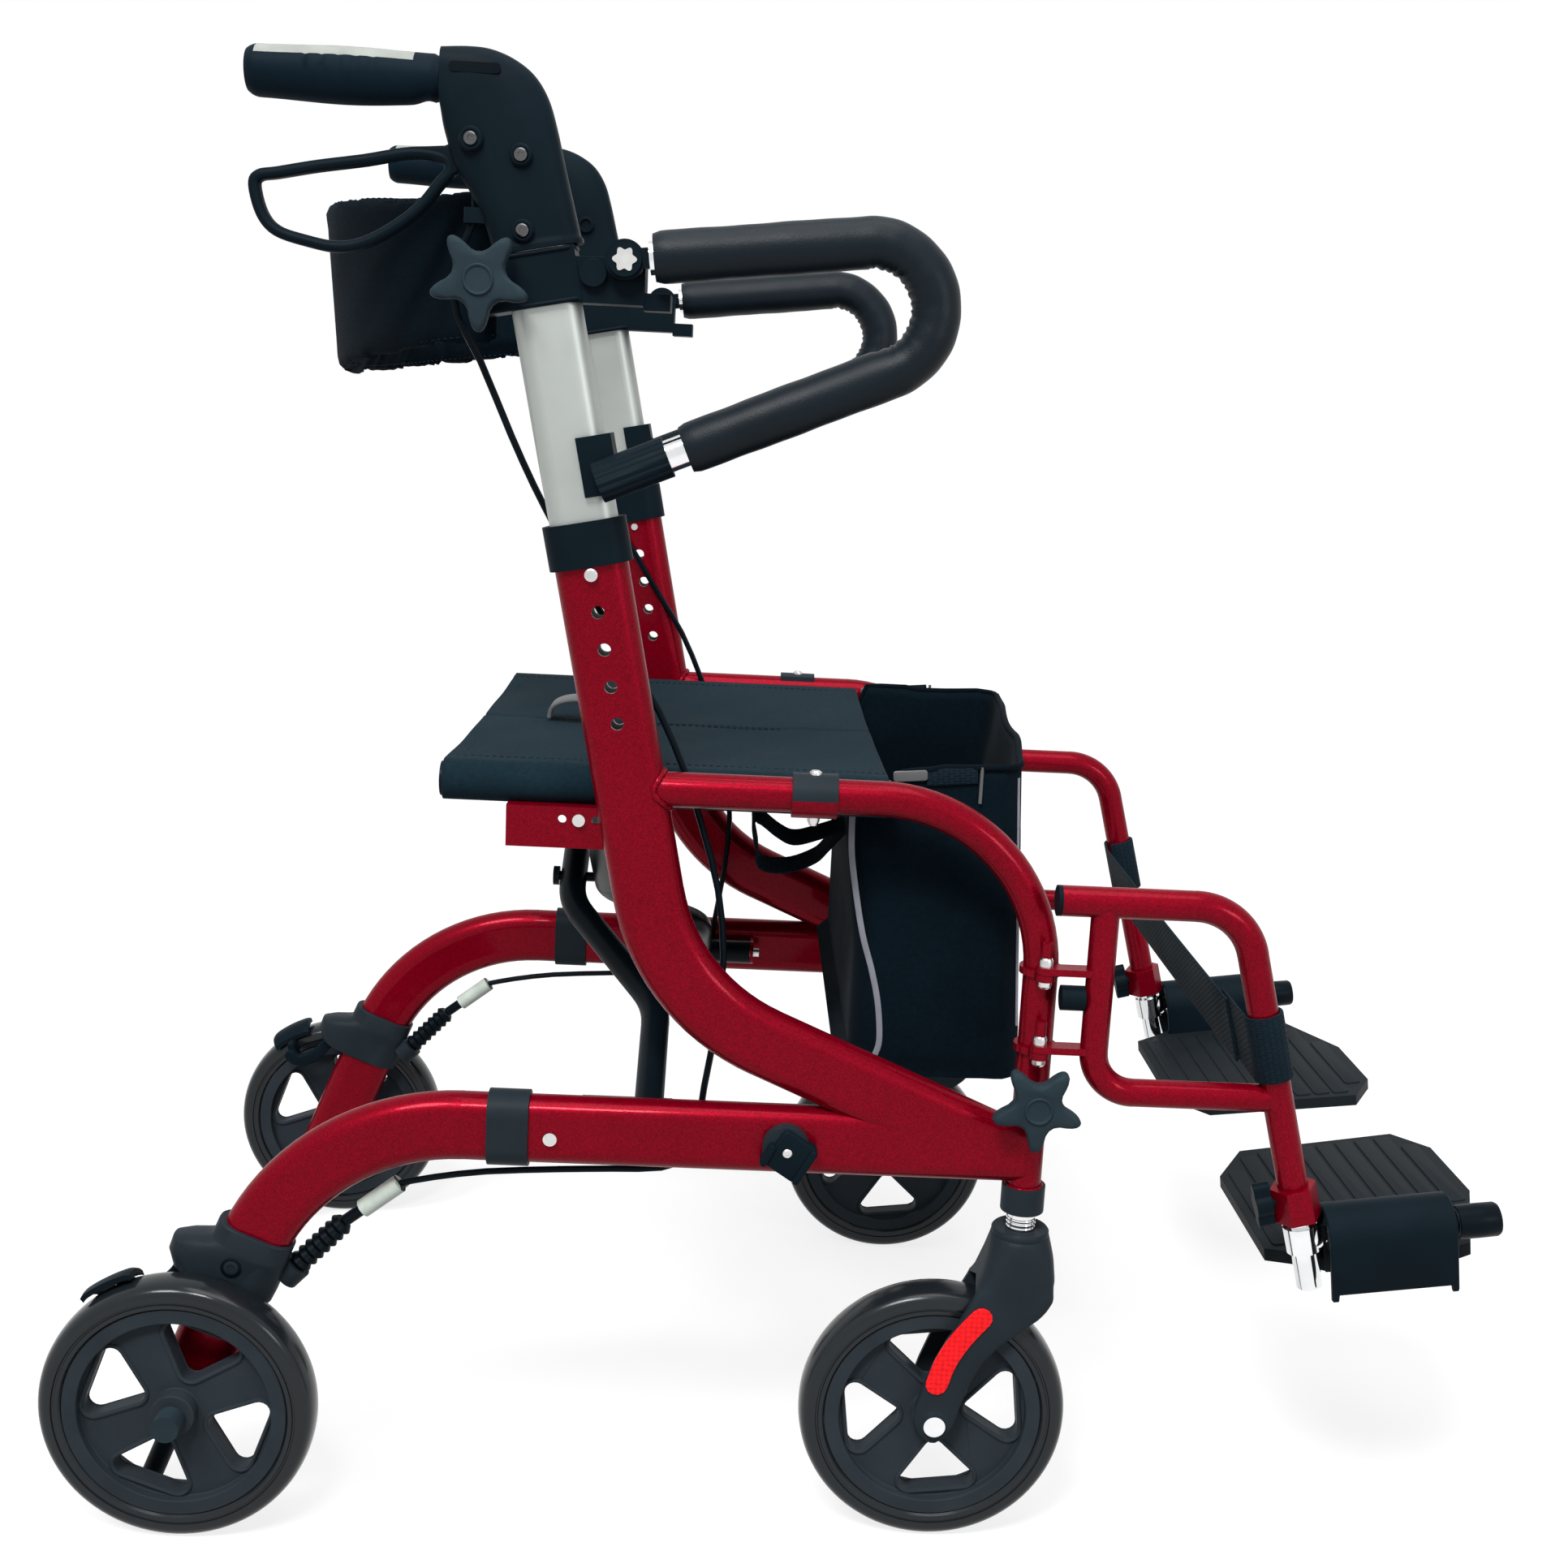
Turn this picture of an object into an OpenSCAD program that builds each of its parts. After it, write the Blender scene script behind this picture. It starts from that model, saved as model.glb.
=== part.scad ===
// Rollator transport chair: folding four-wheel walker with seat, armrests and footrests.
// X points forward, Y to the sitter's left, Z up; the right half is drawn and mirrored.

/* [Overall] */
// Half the distance between the two side frames
frame_half = 246; // [236:1:256]
// Distance between front and rear axles, casters trailing
wheelbase = 553; // [535:1:570]
// X of the caster axis and front upright
caster_x = 183; // [178:1:188]
// Diameter of all four wheels
wheel_d = 200; // [190:1:204]
// Width of a tyre
tyre_w = 33; // [28:1:35]
// Outward offset of the rear wheel from its side frame
rear_offset = 35; // [34.5:0.5:40]

/* [Frame tubes] */
// Long axis of the flat-oval tube
oval_w = 51; // [48:0.5:54]
// Short axis of the flat-oval tube
oval_t = 28; // [27:0.5:30]
// Wall of the frame tubes
wall = 1.5; // [1.2:0.1:2]
// Diameter of the seat rail and front upright
rail_d = 25; // [23:0.5:26]
// Height of the lower tube's centre line
lower_z = 310; // [306:1:316]
// Height of the seat rail's centre line
rail_z = 566; // [560:1:572]
// Bend radius where the rail turns down into the upright
rail_bend = 122; // [110:1:126]
// Lean of the push post from upright, in degrees
post_lean = 11.5; // [11:0.25:12]
// X of the post axis at rail height
post_x = -115.7; // [-118:0.1:-113]
// Slope of the main tube's tail, in degrees
tail_slope = 23; // [22:0.5:24]
// X where the tail meets the lower tube's centre line
tail_x = 158; // [152:1:160]
// Bend radius of the main tube
main_bend = 150; // [130:1:160]
// Slope of the rear leg, in degrees
leg_slope = 68; // [66:0.5:70]
// Bend radius of the rear leg
leg_bend = 168; // [150:1:180]

/* [Push post] */
// Long axis of the silver tube
post_w = 47.5; // [44.5:0.5:47.5]
// Short axis of the silver tube
post_t = 24.5; // [22.5:0.5:24.5]
// Height of the lower end of the silver tube
post_foot_z = 592; // [580:1:600]
// Height of the top end of the main tube
main_top = 742; // [738:1:746]
// Drop of the bolted hole below the main tube's top
bolt_drop = 27; // [25:1:30]
// Pitch of the height holes along the tube
hole_pitch = 26; // [24:0.5:27]
// Diameter of the open height holes
hole_d = 9; // [7:0.5:10]

/* [Handle] */
// Height of the hand grip's axis
grip_z = 1031; // [1028:1:1034]
// Length of the hand grip
grip_len = 125; // [115:1:130]
// Diameter of the hand grip
grip_d = 32; // [30:0.5:34]
// Diameter of the bar inside the grip
grip_bar_d = 20; // [18:0.5:21]
// Thickness of the handle housing across the chair
housing_t = 35; // [34:0.5:38]
// Drop of the handle housing's lower end below the grip's axis
housing_drop = 105; // [101:0.5:105.5]
// Thickness of the brake lever
lever_t = 14; // [10:0.5:15]

/* [Armrest] */
// Drop of the armrest's hinge axis below the grip's axis
eye_drop = 109.4; // [107:0.2:113]
// X of the armrest's hinge axis
eye_x = -129; // [-131:1:-127]
// Outward offset of the armrest from the side frame
arm_offset = 22; // [21.5:0.5:24]
// Outer diameter of the foam
foam_d = 34; // [31:0.5:34]
// Diameter of the steel tube
arm_d = 22; // [20:0.5:22]
// Length of the top run to the bend
arm_len = 158; // [150:1:165]
// Slope of the top run, in degrees
arm_top_slope = 6.7; // [6:0.1:8]
// Slope of the lower run, in degrees
arm_low_slope = 23; // [22:0.5:24]
// Bend radius of the armrest
arm_bend = 42.5; // [41:0.5:44]

/* [Seat and cross brace] */
// Half the distance between seat tubes, also between lower pivots
seat_half = 212; // [210:1:214]
// Height of the lower brace pivots
pivot_z = 312; // [309:1:314]
// Height of the seat tubes
seat_z = 560; // [556:1:562]
// Diameter of the seat tubes
seat_d = 25; // [23:0.5:25]
// X of the rear end of the seat tubes
seat_rear_x = -253; // [-260:1:-245]
// Length of the seat tubes
seat_len = 323; // [310:1:330]
// Diameter of the brace tubes
brace_d = 22; // [20:0.5:23]
// X of brace A at the cross bolt
brace_x = -174; // [-177:1:-171]
// Spacing of the two braces at the cross bolt
brace_gap = 28; // [27:0.5:30]
// Thickness of the sling and strap cloth
cloth_t = 2.5; // [2:0.1:3]

/* [Backrest and bag] */
// Height of the backrest band
band_h = 124; // [110:1:128]
// Drop of the band's middle below the grip's axis
band_drop = 126; // [124:1:128]
// Depth of the band behind its ends
band_depth = 168; // [150:1:180]
// Length of the storage bag
bag_l = 134; // [120:1:138]
// Width of the storage bag
bag_w = 396; // [370:1:400]
// Height of the storage bag
bag_h = 200; // [180:1:205]
// Wall of the storage bag
bag_wall = 3; // [2:0.5:5]

/* [Casters] */
// Trail of the front wheel behind the caster axis
caster_trail = 57; // [50:1:60]
// Diameter of the caster stem
stem_d = 16; // [14:0.5:18]
// Thickness of a fork arm
fork_t = 7; // [6:0.5:9]

/* [Footrest] */
// Outward offset of the footrest hinge from the upright
hinge_offset = 20; // [20:0.5:22]
// Diameter of the hinge pins
pin_d = 8; // [6:0.5:9]
// Diameter of the hanger tubes
hanger_d = 22; // [20:0.5:22]
// Height of the hanger's upper tube
hanger_z = 503; // [500:1:506]
// Forward reach of the hanger's upper corner
hanger_reach = 137; // [130:1:145]
// Lean of the footrest leg, in degrees
foot_lean = 15; // [14:0.5:16]
// Height of the lower end of the hanger leg
leg_end_z = 280; // [276:1:284]
// Upward tilt of the footplate, in degrees
plate_tilt = 8; // [6:0.5:10]
// Thickness of the footplate
plate_t = 10; // [8:0.5:12]
// Drop of the footplate below its hinge bar
plate_drop = 24; // [22:1:28]
// Diameter of the footplate's hinge bar
bar_d = 12; // [10:0.5:14]

/* [Knobs and fits] */
// Reach of a star knob's arms
knob_r = 28; // [24:0.5:28]
// Diameter of the knob screws
screw_d = 8; // [6:0.5:9]
// Radial clearance of running fits
fit = 0.05; // [0.02:0.01:0.1]
// Clearance between parts that pass each other
clear = 0.4; // [0.3:0.05:0.6]

/* [Hidden] */
$fn = 48;
SIDE_PARTS = ["side_frame", "push_tube", "handle_housing", "hand_grip", "arm_clamp", "frame_fasteners",
              "brake_cable", "frame_fittings", "brake_lever", "brake_arm", "rear_tyre", "rear_rim",
              "caster_fork", "caster_stem", "front_tyre", "front_rim", "armrest_tube", "armrest_foam",
              "armrest_saddle", "upper_knob", "front_knob", "footrest_hanger", "footrest_clamp",
              "footrest_slide", "footplate", "footrest_knob", "calf_strap"];
CENTRE_PARTS = ["cross_brace_a", "cross_brace_b", "seat_sling", "storage_bag", "backrest_band"];

// Wheels and axles
axle_z = wheel_d / 2;
front_axle_x = caster_x - caster_trail;
rear_axle_x = front_axle_x - wheelbase;
axle_d = 12;
tyre_in_r = wheel_d / 2 - 19;
hub_r = 16;
rear_hub_out = tyre_w / 2 + 4;
fork_top = lower_z - oval_w / 2 - 41.5;
crown_z = wheel_d + 8;

// Side frame
frame_y = -frame_half;
rail_r = rail_d / 2;
tl = tan(post_lean);
ts = tan(tail_slope);
corner_x = (post_x - tl * (lower_z - rail_z + ts * tail_x)) / (1 - tl * ts);
corner_z = lower_z + ts * (tail_x - corner_x);
main_turn = 90 - post_lean - tail_slope;
main_tan = main_bend * tan(main_turn / 2);
leg_corner_x = rear_axle_x + (lower_z - axle_z) / tan(leg_slope);
leg_tan = leg_bend * tan(leg_slope / 2);
leg_past = 20;
upright_end_z = lower_z - oval_w / 2 - 2.5;
inner_y = frame_y + oval_t / 2;
outer_y = frame_y - oval_t / 2;
tab_t = 3;
rest_y = inner_y - wall / 2;
rest_z = seat_z - seat_d / 2 - clear - 9;
rest_x = post_at(rest_z)[0] - 42;
rest_pitch = 12;
inner_lip = 20;
// Runs enter a bend by this much, and the bend is this much fatter
lap = 1;
swell = 0.2;
graze = 0.05;         // how far a bar's side stays inside its round ends

// Cross brace: arm length, slope and where each tube runs
arm_v = (seat_z - pivot_z) / 2;
brace_arm = norm([seat_half, arm_v]);
brace_slope = atan(arm_v / seat_half);
cross_z = pivot_z + arm_v;
sleeve_len = 60;
sleeve_d = 22;
pivot_d = 8;
brace_shift = 78;
low_x = [brace_x + brace_shift, brace_x + brace_gap + brace_shift];
sleeve_x = [low_x[0] - 16, low_x[1] + 18];

// Footrest: hinge axis, leg line and hinge bar
pin_y = frame_y - hinge_offset;
hanger_r = hanger_d / 2;
leg_top_x = caster_x + hanger_reach;
hanger_bend = 45;
hanger_low_z = hanger_z - 140;
hanger_post_x = caster_x + 39;
lug_t = 5;
knuckle_r = 7;
lug_z = [hanger_z - 59, hanger_z - 117];
slide_d = hanger_d - 2 * wall - 2 * fit;
bar_root = [foot_at(leg_end_z - 22)[0] + 3, leg_end_z - 22];
sleeve_u = [16, 96];
plate_front_u = 158;
skirt_t = 5;

// Overall length sets the origin: the middle of the box, on the floor
front_end = bar_root[0] + plate_front_u * cos(plate_tilt) + (plate_drop + plate_t) * sin(plate_tilt);
mid_x = (front_end + rear_axle_x - wheel_d / 2) / 2;

// What the push post carries moves with the grip
housing_z = grip_z - housing_drop;
eye_z = grip_z - eye_drop;
band_z = grip_z - band_drop;

// Armrest path in its own plane
arm_y = frame_y - arm_offset;
eye_r = 13;
bush_d = 14;
arm_c = [eye_x + arm_len * cos(arm_top_slope) + arm_bend * sin(arm_top_slope),
         eye_z + arm_len * sin(arm_top_slope) - arm_bend * cos(arm_top_slope)];
arm_low = [arm_c[0] + arm_bend * sin(arm_low_slope), arm_c[1] - arm_bend * cos(arm_low_slope)];
arm_to_post = (arm_low[0] - post_x + tl * (arm_low[1] - rail_z))
              / (cos(arm_low_slope) + tl * sin(arm_low_slope));
saddle_z = arm_low[1] - arm_to_post * sin(arm_low_slope) + 14;
foam_low_len = arm_to_post - 84;

// The main tube and its bolt stay below the armrest's saddle
saddle_room = 42;
main_top_z = min(main_top, saddle_z - saddle_room);
bolt_z = main_top_z - bolt_drop;

// Clamp on the push post
clamp_out = 16;
clamp_in = 18;
clamp_h = 36;
clamp_z = housing_z - (clamp_h / 2 + 0.5) * cos(post_lean);
clamp_low = eye_z - 28;
clamp_back = 48;
clamp_rear_x = post_at(eye_z)[0] - clamp_back;
knob_x = clamp_rear_x + 14;
knob_z = eye_z - 18;
knob_boss = 2.6;

// Handle: where the grip starts and the lever turns
grip_x = post_at(grip_z)[0] - 42.3;
lever_x = grip_x + 21.5;
lever_z = grip_z - 38.5;
lever_pin_d = 6;
side_face = frame_y - housing_t / 2;
cap_at = [[54, -47], [56, -94]];

// Rear brake: pivot behind the leg and shoe over the tyre
shoe_gap = 4;
brake_x = rear_axle_x - 2;
brake_z = axle_z + 108;
shoe_a = 120;
shoe_span = 24;
shoe_t = 7;
collar_low = 84;
collar_h = 42;

// Front knob on the upright
front_knob_z = lower_z + 43;

// Brake cable: diameter and route from the handle to the adjuster, across the chair from the frame plane
cable_d = 5;
// The route is drawn for one grip height; above the tube's top it follows the grip
route_grip_z = 1031;
route_free_z = 924;
route_low_z = 742;
cable_points = [[-231, -4, 951], [-231, -4, 941], [-238.5, -4, 924], [-243, -3, 905], [-241, -1, 882],
                [-226, 6, 853], [-205, 10, 805], [-190, 18, 772], [-174, 22, 742], [-150, 22, 700],
                [-122, 17, 655], [-98, 17, 618], [-78, 17, 575], [-64, 17, 535], [-51, 17, 490],
                [-45, 17, 440], [-48, 17, 390], [-55, 17, 340], [-59, 17, 305], [-66, 15, 286],
                [-84, 9, 279], [-120, 6, 278], [-158, 6, 276], [-212, 6, 272], [-250, 6, 266],
                [-275.2, 6, 260.2]];
function on_route(p) = let (t = (p[2] - route_low_z) / (route_free_z - route_low_z),
                            rise = max(0, min(1, t)) * (grip_z - route_grip_z))
    [p[0] - tl * rise, p[1], p[2] + rise];
cable_route = [for (p = cable_points) on_route(p)];
// Adjuster barrel, its neck and the boot, in line under the rear leg
adjuster_at = [-275.5, 260];
adjuster_slope = 38;
adjuster_len = 34;
neck_len = 16;
boot_at = [-316.2, 228.1];
boot_slope = 46;
boot_len = 48.6;
boot_ribs = 7;
boot_end = boot_at - boot_len * [cos(boot_slope), sin(boot_slope)];

function post_at(z) = [post_x - tl * (z - rail_z), z];
function foot_at(z) = [leg_top_x + tan(foot_lean) * (hanger_z - z), z];

// Shared shapes

module at_side(s) {
    translate([-mid_x, 0, 0]) if (s == "_r") children(); else mirror([0, 1, 0]) children();
}

module oval(w, t) {
    square([w - t, t], center = true);
    for (s = [-1, 1]) translate([s * (w - t) / 2, 0]) circle(d = t);
}

// Straight run in the side plane from [x, z], heading a degrees above forward
module run(p, a, len, back = 0, on = 0) {
    q = p - back * [cos(a), sin(a)];
    translate([q[0], 0, q[1]]) rotate([0, 90 - a, 0]) linear_extrude(len + back + on) children();
}

// Bend in the side plane about centre c from angle a0 through da
module bend(c, r, a0, da) {
    translate([c[0], 0, c[1]]) rotate([90, 0, 0]) rotate([0, 0, a0])
        rotate_extrude(angle = da) translate([r, 0]) children();
}

// Cylinder across the chair from y0 to y1
module cross(x, z, d, y0, y1) {
    translate([x, min(y0, y1), z]) rotate([-90, 0, 0]) cylinder(d = d, h = abs(y1 - y0));
}

// Shape in the side plane, given thickness from y0 inward
module plate(y0, t) {
    translate([0, y0 + t, 0]) rotate([90, 0, 0]) linear_extrude(t) children();
}

module bar2d(a, b, r) {
    d = b - a;
    w = r - graze;
    translate(a) rotate(atan2(d[1], d[0])) translate([0, -w]) square([norm(d), 2 * w]);
    for (p = [a, b]) translate(p) circle(r);
}

module link2d(points, r) {
    for (i = [0:len(points) - 2]) bar2d(points[i], points[i + 1], r);
}

module post_run(z0, z1) {
    p = post_at(z0);
    translate([p[0], frame_y, z0]) rotate([0, -post_lean, 0])
        linear_extrude((z1 - z0) / cos(post_lean)) children();
}

module on_post(z) {
    p = post_at(z);
    translate([p[0], frame_y, z]) rotate([0, -post_lean, 0]) children();
}

module star2d(r, core, arms) {
    circle(core);
    for (i = [0:arms - 1]) rotate(i * 360 / arms)
        polygon([[0, -core * 0.62], [r - 5, -5], [r - 5, 5], [0, core * 0.62]]);
    for (i = [0:arms - 1]) rotate(i * 360 / arms) translate([r - 5, 0]) circle(5);
}

// Side frame

module frame_tubes(cut, past) {
    w = oval_w - cut;
    h = oval_t - cut;
    d = rail_d - cut;
    up = [-sin(post_lean), cos(post_lean)];
    out = [cos(tail_slope), -sin(tail_slope)];
    p1 = [corner_x, corner_z] + main_tan * up;
    p2 = [corner_x, corner_z] + main_tan * out;
    run(p1, 90 + post_lean, (main_top_z - p1[1]) / cos(post_lean) + past, lap) oval(w, h);
    bend(p1 + main_bend * [cos(post_lean), sin(post_lean)], main_bend, 180 + post_lean, main_turn)
        oval(w + swell, h + swell);
    run(p2, -tail_slope, (tail_x - p2[0]) / cos(tail_slope), lap) oval(w, h);
    front = caster_x - (past > 0 ? rail_r + 1 : 2);
    p3 = [leg_corner_x + leg_tan, lower_z];
    p4 = p3 + leg_bend * [-sin(leg_slope), cos(leg_slope) - 1];
    run(p3, 0, front - p3[0], lap) oval(w, h);
    bend(p3 - [0, leg_bend], leg_bend, 90, leg_slope) oval(w + swell, h + swell);
    run(p4, 180 + leg_slope, (p4[1] - axle_z) / sin(leg_slope) + leg_past + past, lap) oval(w, h);
    rail_start = post_x + (past > 0 ? oval_w / 2 + 4 : 0);
    rail_end = caster_x - rail_bend;
    run([rail_start, rail_z], 0, rail_end - rail_start, 0, lap) circle(d = d);
    bend([rail_end, rail_z - rail_bend], rail_bend, 0, 90) circle(d = d + swell);
    run([caster_x, rail_z - rail_bend], -90, rail_z - rail_bend - upright_end_z + past, lap) circle(d = d);
}

module brace_tab(x) {
    translate([x - tab_t / 2, 0, pivot_z]) rotate([90, 0, 90]) linear_extrude(tab_t) difference() {
        union() {
            translate([-seat_half, 0]) circle(11);
            translate([inner_y - wall / 2, -11]) square([-seat_half - inner_y + wall / 2, 22]);
        }
        translate([-seat_half, 0]) circle(d = pivot_d + 2 * fit);
    }
}

module seat_rest() {
    top = seat_z - seat_d / 2 - clear;
    back = post_at(top)[0] - 92;
    front = post_at(top)[0] - 4;
    translate([back, rest_y, top - 30]) cube([front - back, tab_t, 30]);
    translate([back, rest_y, top - tab_t]) cube([front - back - 20, inner_lip, tab_t]);
}

module hinge_lug(z) {
    translate([caster_x, 0, z]) linear_extrude(lug_t) {
        translate([0, pin_y]) circle(knuckle_r);
        translate([-knuckle_r, pin_y]) square([2 * knuckle_r, hinge_offset]);
        translate([0, frame_y]) circle(rail_r + 3);
    }
}

module side_frame(s) {
    i = s == "_r" ? 0 : 1;
    color("firebrick") at_side(s) difference() {
        union() {
            translate([0, frame_y, 0]) frame_tubes(0, 0);
            for (e = [-1, 1]) brace_tab(sleeve_x[i] + e * (sleeve_len / 2 + clear + tab_t / 2));
            seat_rest();
            for (z = lug_z) hinge_lug(z);
            cross(caster_x, front_knob_z, screw_d + 8, frame_y - rail_r + 1, frame_y - rail_r - 4);
        }
        translate([0, frame_y, 0]) frame_tubes(2 * wall, 2);
        for (k = [0:4]) on_post(bolt_z - k * hole_pitch * cos(post_lean))
            rotate([90, 0, 0]) cylinder(d = k == 0 ? 6 + 2 * fit : hole_d, h = 2 * oval_t, center = true);
        for (k = [-1:1]) cross(rest_x + k * rest_pitch, rest_z, 6 + 2 * fit, rest_y - 3, rest_y + 10);
        for (z = lug_z) translate([caster_x, pin_y, z - 1]) cylinder(d = pin_d + 2 * fit, h = lug_t + 2);
        cross(caster_x, front_knob_z, screw_d + 2 * fit, frame_y, frame_y - rail_r - 6);
        cross(rear_axle_x, axle_z, axle_d + 2 * fit, frame_y - oval_t, frame_y + oval_t);
    }
}

module push_tube(s) {
    color("silver") at_side(s) difference() {
        post_run(post_foot_z, grip_z - 46) oval(post_w, post_t);
        post_run(post_foot_z - 1, grip_z - 45) oval(post_w - 4, post_t - 4);
        for (k = [0:4]) on_post(bolt_z - k * hole_pitch * cos(post_lean))
            rotate([90, 0, 0]) cylinder(d = k == 0 ? 6 + 2 * fit : hole_d, h = 2 * oval_t, center = true);
    }
}

// Handle

module housing_outline() {
    front = post_at(housing_z)[0] + 29;
    polygon([[grip_x, grip_z + 19.5], [grip_x + 30, grip_z + 20], [grip_x + 50, grip_z + 13],
             [grip_x + 65, grip_z - 1], [grip_x + 74, grip_z - 20], [front, housing_z + 12],
             [front - 58, housing_z + 12], [grip_x + 12, grip_z - 62], [grip_x + 4, grip_z - 40],
             [grip_x, grip_z - 19]]);
}

module handle_housing(s) {
    slot_top = grip_z - 22;
    color("darkslategray") at_side(s) difference() {
        union() {
            plate(frame_y - housing_t / 2, housing_t) housing_outline();
            post_run(housing_z, housing_z + 40) oval(58, housing_t);
            translate([grip_x - grip_len + 6, frame_y, grip_z]) rotate([0, 90, 0])
                cylinder(d = grip_bar_d, h = grip_len);
            for (p = cap_at) cross(grip_x + p[0], grip_z + p[1], 15, side_face - 2, side_face);
            translate([cable_route[0][0] - 8, frame_y - 10, cable_route[0][2] - 8]) cube([26, 12, 8]);
        }
        post_run(housing_z - 5, grip_z - 45.5) oval(post_w + 2 * fit, post_t + 2 * fit);
        translate([grip_x - 8, frame_y - lever_t / 2 - clear, grip_z - 75])
            cube([42, lever_t + 2 * clear, slot_top - grip_z + 75]);
        cross(lever_x, lever_z, lever_pin_d + 2 * fit, frame_y - 30, frame_y + 30);
        translate([cable_route[0][0], frame_y + cable_route[0][1], cable_route[0][2] - 12])
            cylinder(d = cable_d + 2, h = 24);
    }
}

module hand_grip(s) {
    steps = 40;
    function r(t) = grip_d / 2 * (t < 0.06 ? sqrt(1 - pow(1 - t / 0.06, 2) * 0.5) : 1)
                    - (t > 0.3 && t < 0.75 ? 1.1 * (1 - cos((t - 0.3) / 0.09 * 360)) / 2 : 0);
    color("dimgray") at_side(s) translate([grip_x - clear, frame_y, grip_z]) rotate([0, -90, 0])
        difference() {
            rotate_extrude() polygon(concat([[0, 0]],
                [for (k = [0:steps]) [r(1 - k / steps), k / steps * grip_len]], [[0, grip_len]]));
            translate([0, 0, -1]) cylinder(d = grip_bar_d + 2 * fit, h = grip_len - 4);
        }
}

module lever_outline(grow) {
    tip = [grip_x - 122, grip_z - 71];
    link2d([[lever_x, lever_z], [grip_x - 58, grip_z - 55], tip], 5 + grow);
    link2d([tip, [grip_x - 108, grip_z - 92], [grip_x - 72, grip_z - 106], [grip_x - 26, grip_z - 90],
            [grip_x - 2, grip_z - 66], [lever_x, lever_z]], 5 + grow);
}

module brake_lever(s) {
    color("black") at_side(s) difference() {
        union() {
            plate(frame_y - lever_t / 2, lever_t) lever_outline(0);
            cross(lever_x, lever_z, 18, frame_y - lever_t / 2, frame_y + lever_t / 2);
        }
        cross(lever_x, lever_z, lever_pin_d + 2 * fit, frame_y - lever_t, frame_y + lever_t);
    }
}

// Clamp for armrest and backrest, with its star knob

module arm_clamp(s) {
    front = eye_x + 13;
    y0 = frame_y - clamp_out;
    depth = clamp_out + clamp_in;
    color("black") at_side(s) difference() {
        union() {
            on_post(clamp_z) translate([-clamp_back, -clamp_out, -clamp_h / 2])
                cube([clamp_back + post_w / 2 + 2, depth, clamp_h]);
            translate([front - 50, y0 + 0.6, clamp_low])
                cube([50, depth - 1.2, eye_z + 1.5 - clamp_low]);
            translate([front - 1, y0 + 1.2, clamp_low - 3]) cube([18, depth - 2.4, 11]);
            cross(eye_x - 21, eye_z - 9, 18, y0, y0 - 5);
            cross(knob_x, knob_z, 2 * screw_d, y0 + 1, y0 - knob_boss);
        }
        post_run(clamp_low - 40, eye_z + 30) oval(post_w + 2 * fit, post_t + 2 * fit);
        cross(eye_x, eye_z, bush_d + 2 * fit, frame_y - 40, frame_y + 40);
        cross(knob_x, knob_z, screw_d + 2 * fit, frame_y - 40, frame_y + 40);
    }
}

module star_knob(x, z, y_face, y_end) {
    thick = 12;
    plate(y_face - thick, thick) translate([x, z]) star2d(knob_r, 13, 5);
    cross(x, z, 20, y_face - thick - 2, y_face);
    cross(x, z, screw_d, y_face - 1, y_end);
}

module upper_knob(s) {
    face = frame_y - clamp_out - knob_boss;
    color("dimgray") at_side(s) star_knob(knob_x, knob_z, face - clear, face + 26);
}

module front_knob(s) {
    face = frame_y - rail_r - 4;
    color("dimgray") at_side(s) star_knob(caster_x, front_knob_z, face - clear, frame_y - 4);
}

// Armrest

module arm_path(d, top_from, low_len) {
    start = [eye_x, eye_z] + top_from * [cos(arm_top_slope), sin(arm_top_slope)];
    run(start, arm_top_slope, arm_len - top_from, 0, lap) circle(d = d);
    bend(arm_c, arm_bend, arm_low_slope - 90, 180 + arm_top_slope - arm_low_slope) circle(d = d + swell);
    run(arm_low, 180 + arm_low_slope, low_len, lap) circle(d = d);
}

module armrest_tube(s) {
    color("silver") at_side(s) translate([0, arm_y, 0]) difference() {
        arm_path(arm_d, eye_r + 3, arm_to_post - 42);
        arm_path(arm_d - 4, eye_r + 2, arm_to_post - 41);
    }
}

module armrest_foam(s) {
    color("darkslategray") at_side(s) translate([0, arm_y, 0]) difference() {
        arm_path(foam_d, eye_r + 6, foam_low_len);
        arm_path(arm_d + 2 * fit, eye_r + 5, foam_low_len + 1);
    }
}

module armrest_saddle(s) {
    hold = 50;
    eye_y0 = frame_y - clamp_out - clear;
    eye_y1 = arm_y - (eye_y0 - arm_y);
    top_dir = [cos(arm_top_slope), sin(arm_top_slope)];
    low_dir = [cos(arm_low_slope), sin(arm_low_slope)];
    color("black") at_side(s) {
        difference() {
            union() {
                cross(eye_x, eye_z, 2 * eye_r, eye_y0, eye_y1);
                translate([0, arm_y, 0]) {
                    run([eye_x, eye_z] + (eye_r - 3) * top_dir, arm_top_slope, 8)
                        square([arm_d - 9, eye_y0 - eye_y1], center = true);
                    run([eye_x, eye_z] + (eye_r + 4) * top_dir, arm_top_slope, 28)
                        circle(d = arm_d - 4 - 2 * fit);
                }
            }
            cross(eye_x, eye_z, bush_d + 2 * fit, frame_y, frame_y - 60);
        }
        difference() {
            union() {
                translate([0, arm_y, 0])
                    run(arm_low - (arm_to_post - 66) * low_dir, 180 + arm_low_slope, hold)
                    circle(d = arm_d + 6);
                on_post(saddle_z) translate([5, -post_t / 2 - 5, -20]) cube([24, post_t + 10, 40]);
            }
            post_run(saddle_z - 60, saddle_z + 60) oval(post_w + 2 * clear, post_t + 2 * clear);
            translate([0, arm_y, 0]) run(arm_low, 180 + arm_low_slope, arm_to_post - 41.8)
                circle(d = arm_d + 2 * fit);
        }
    }
}

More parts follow.
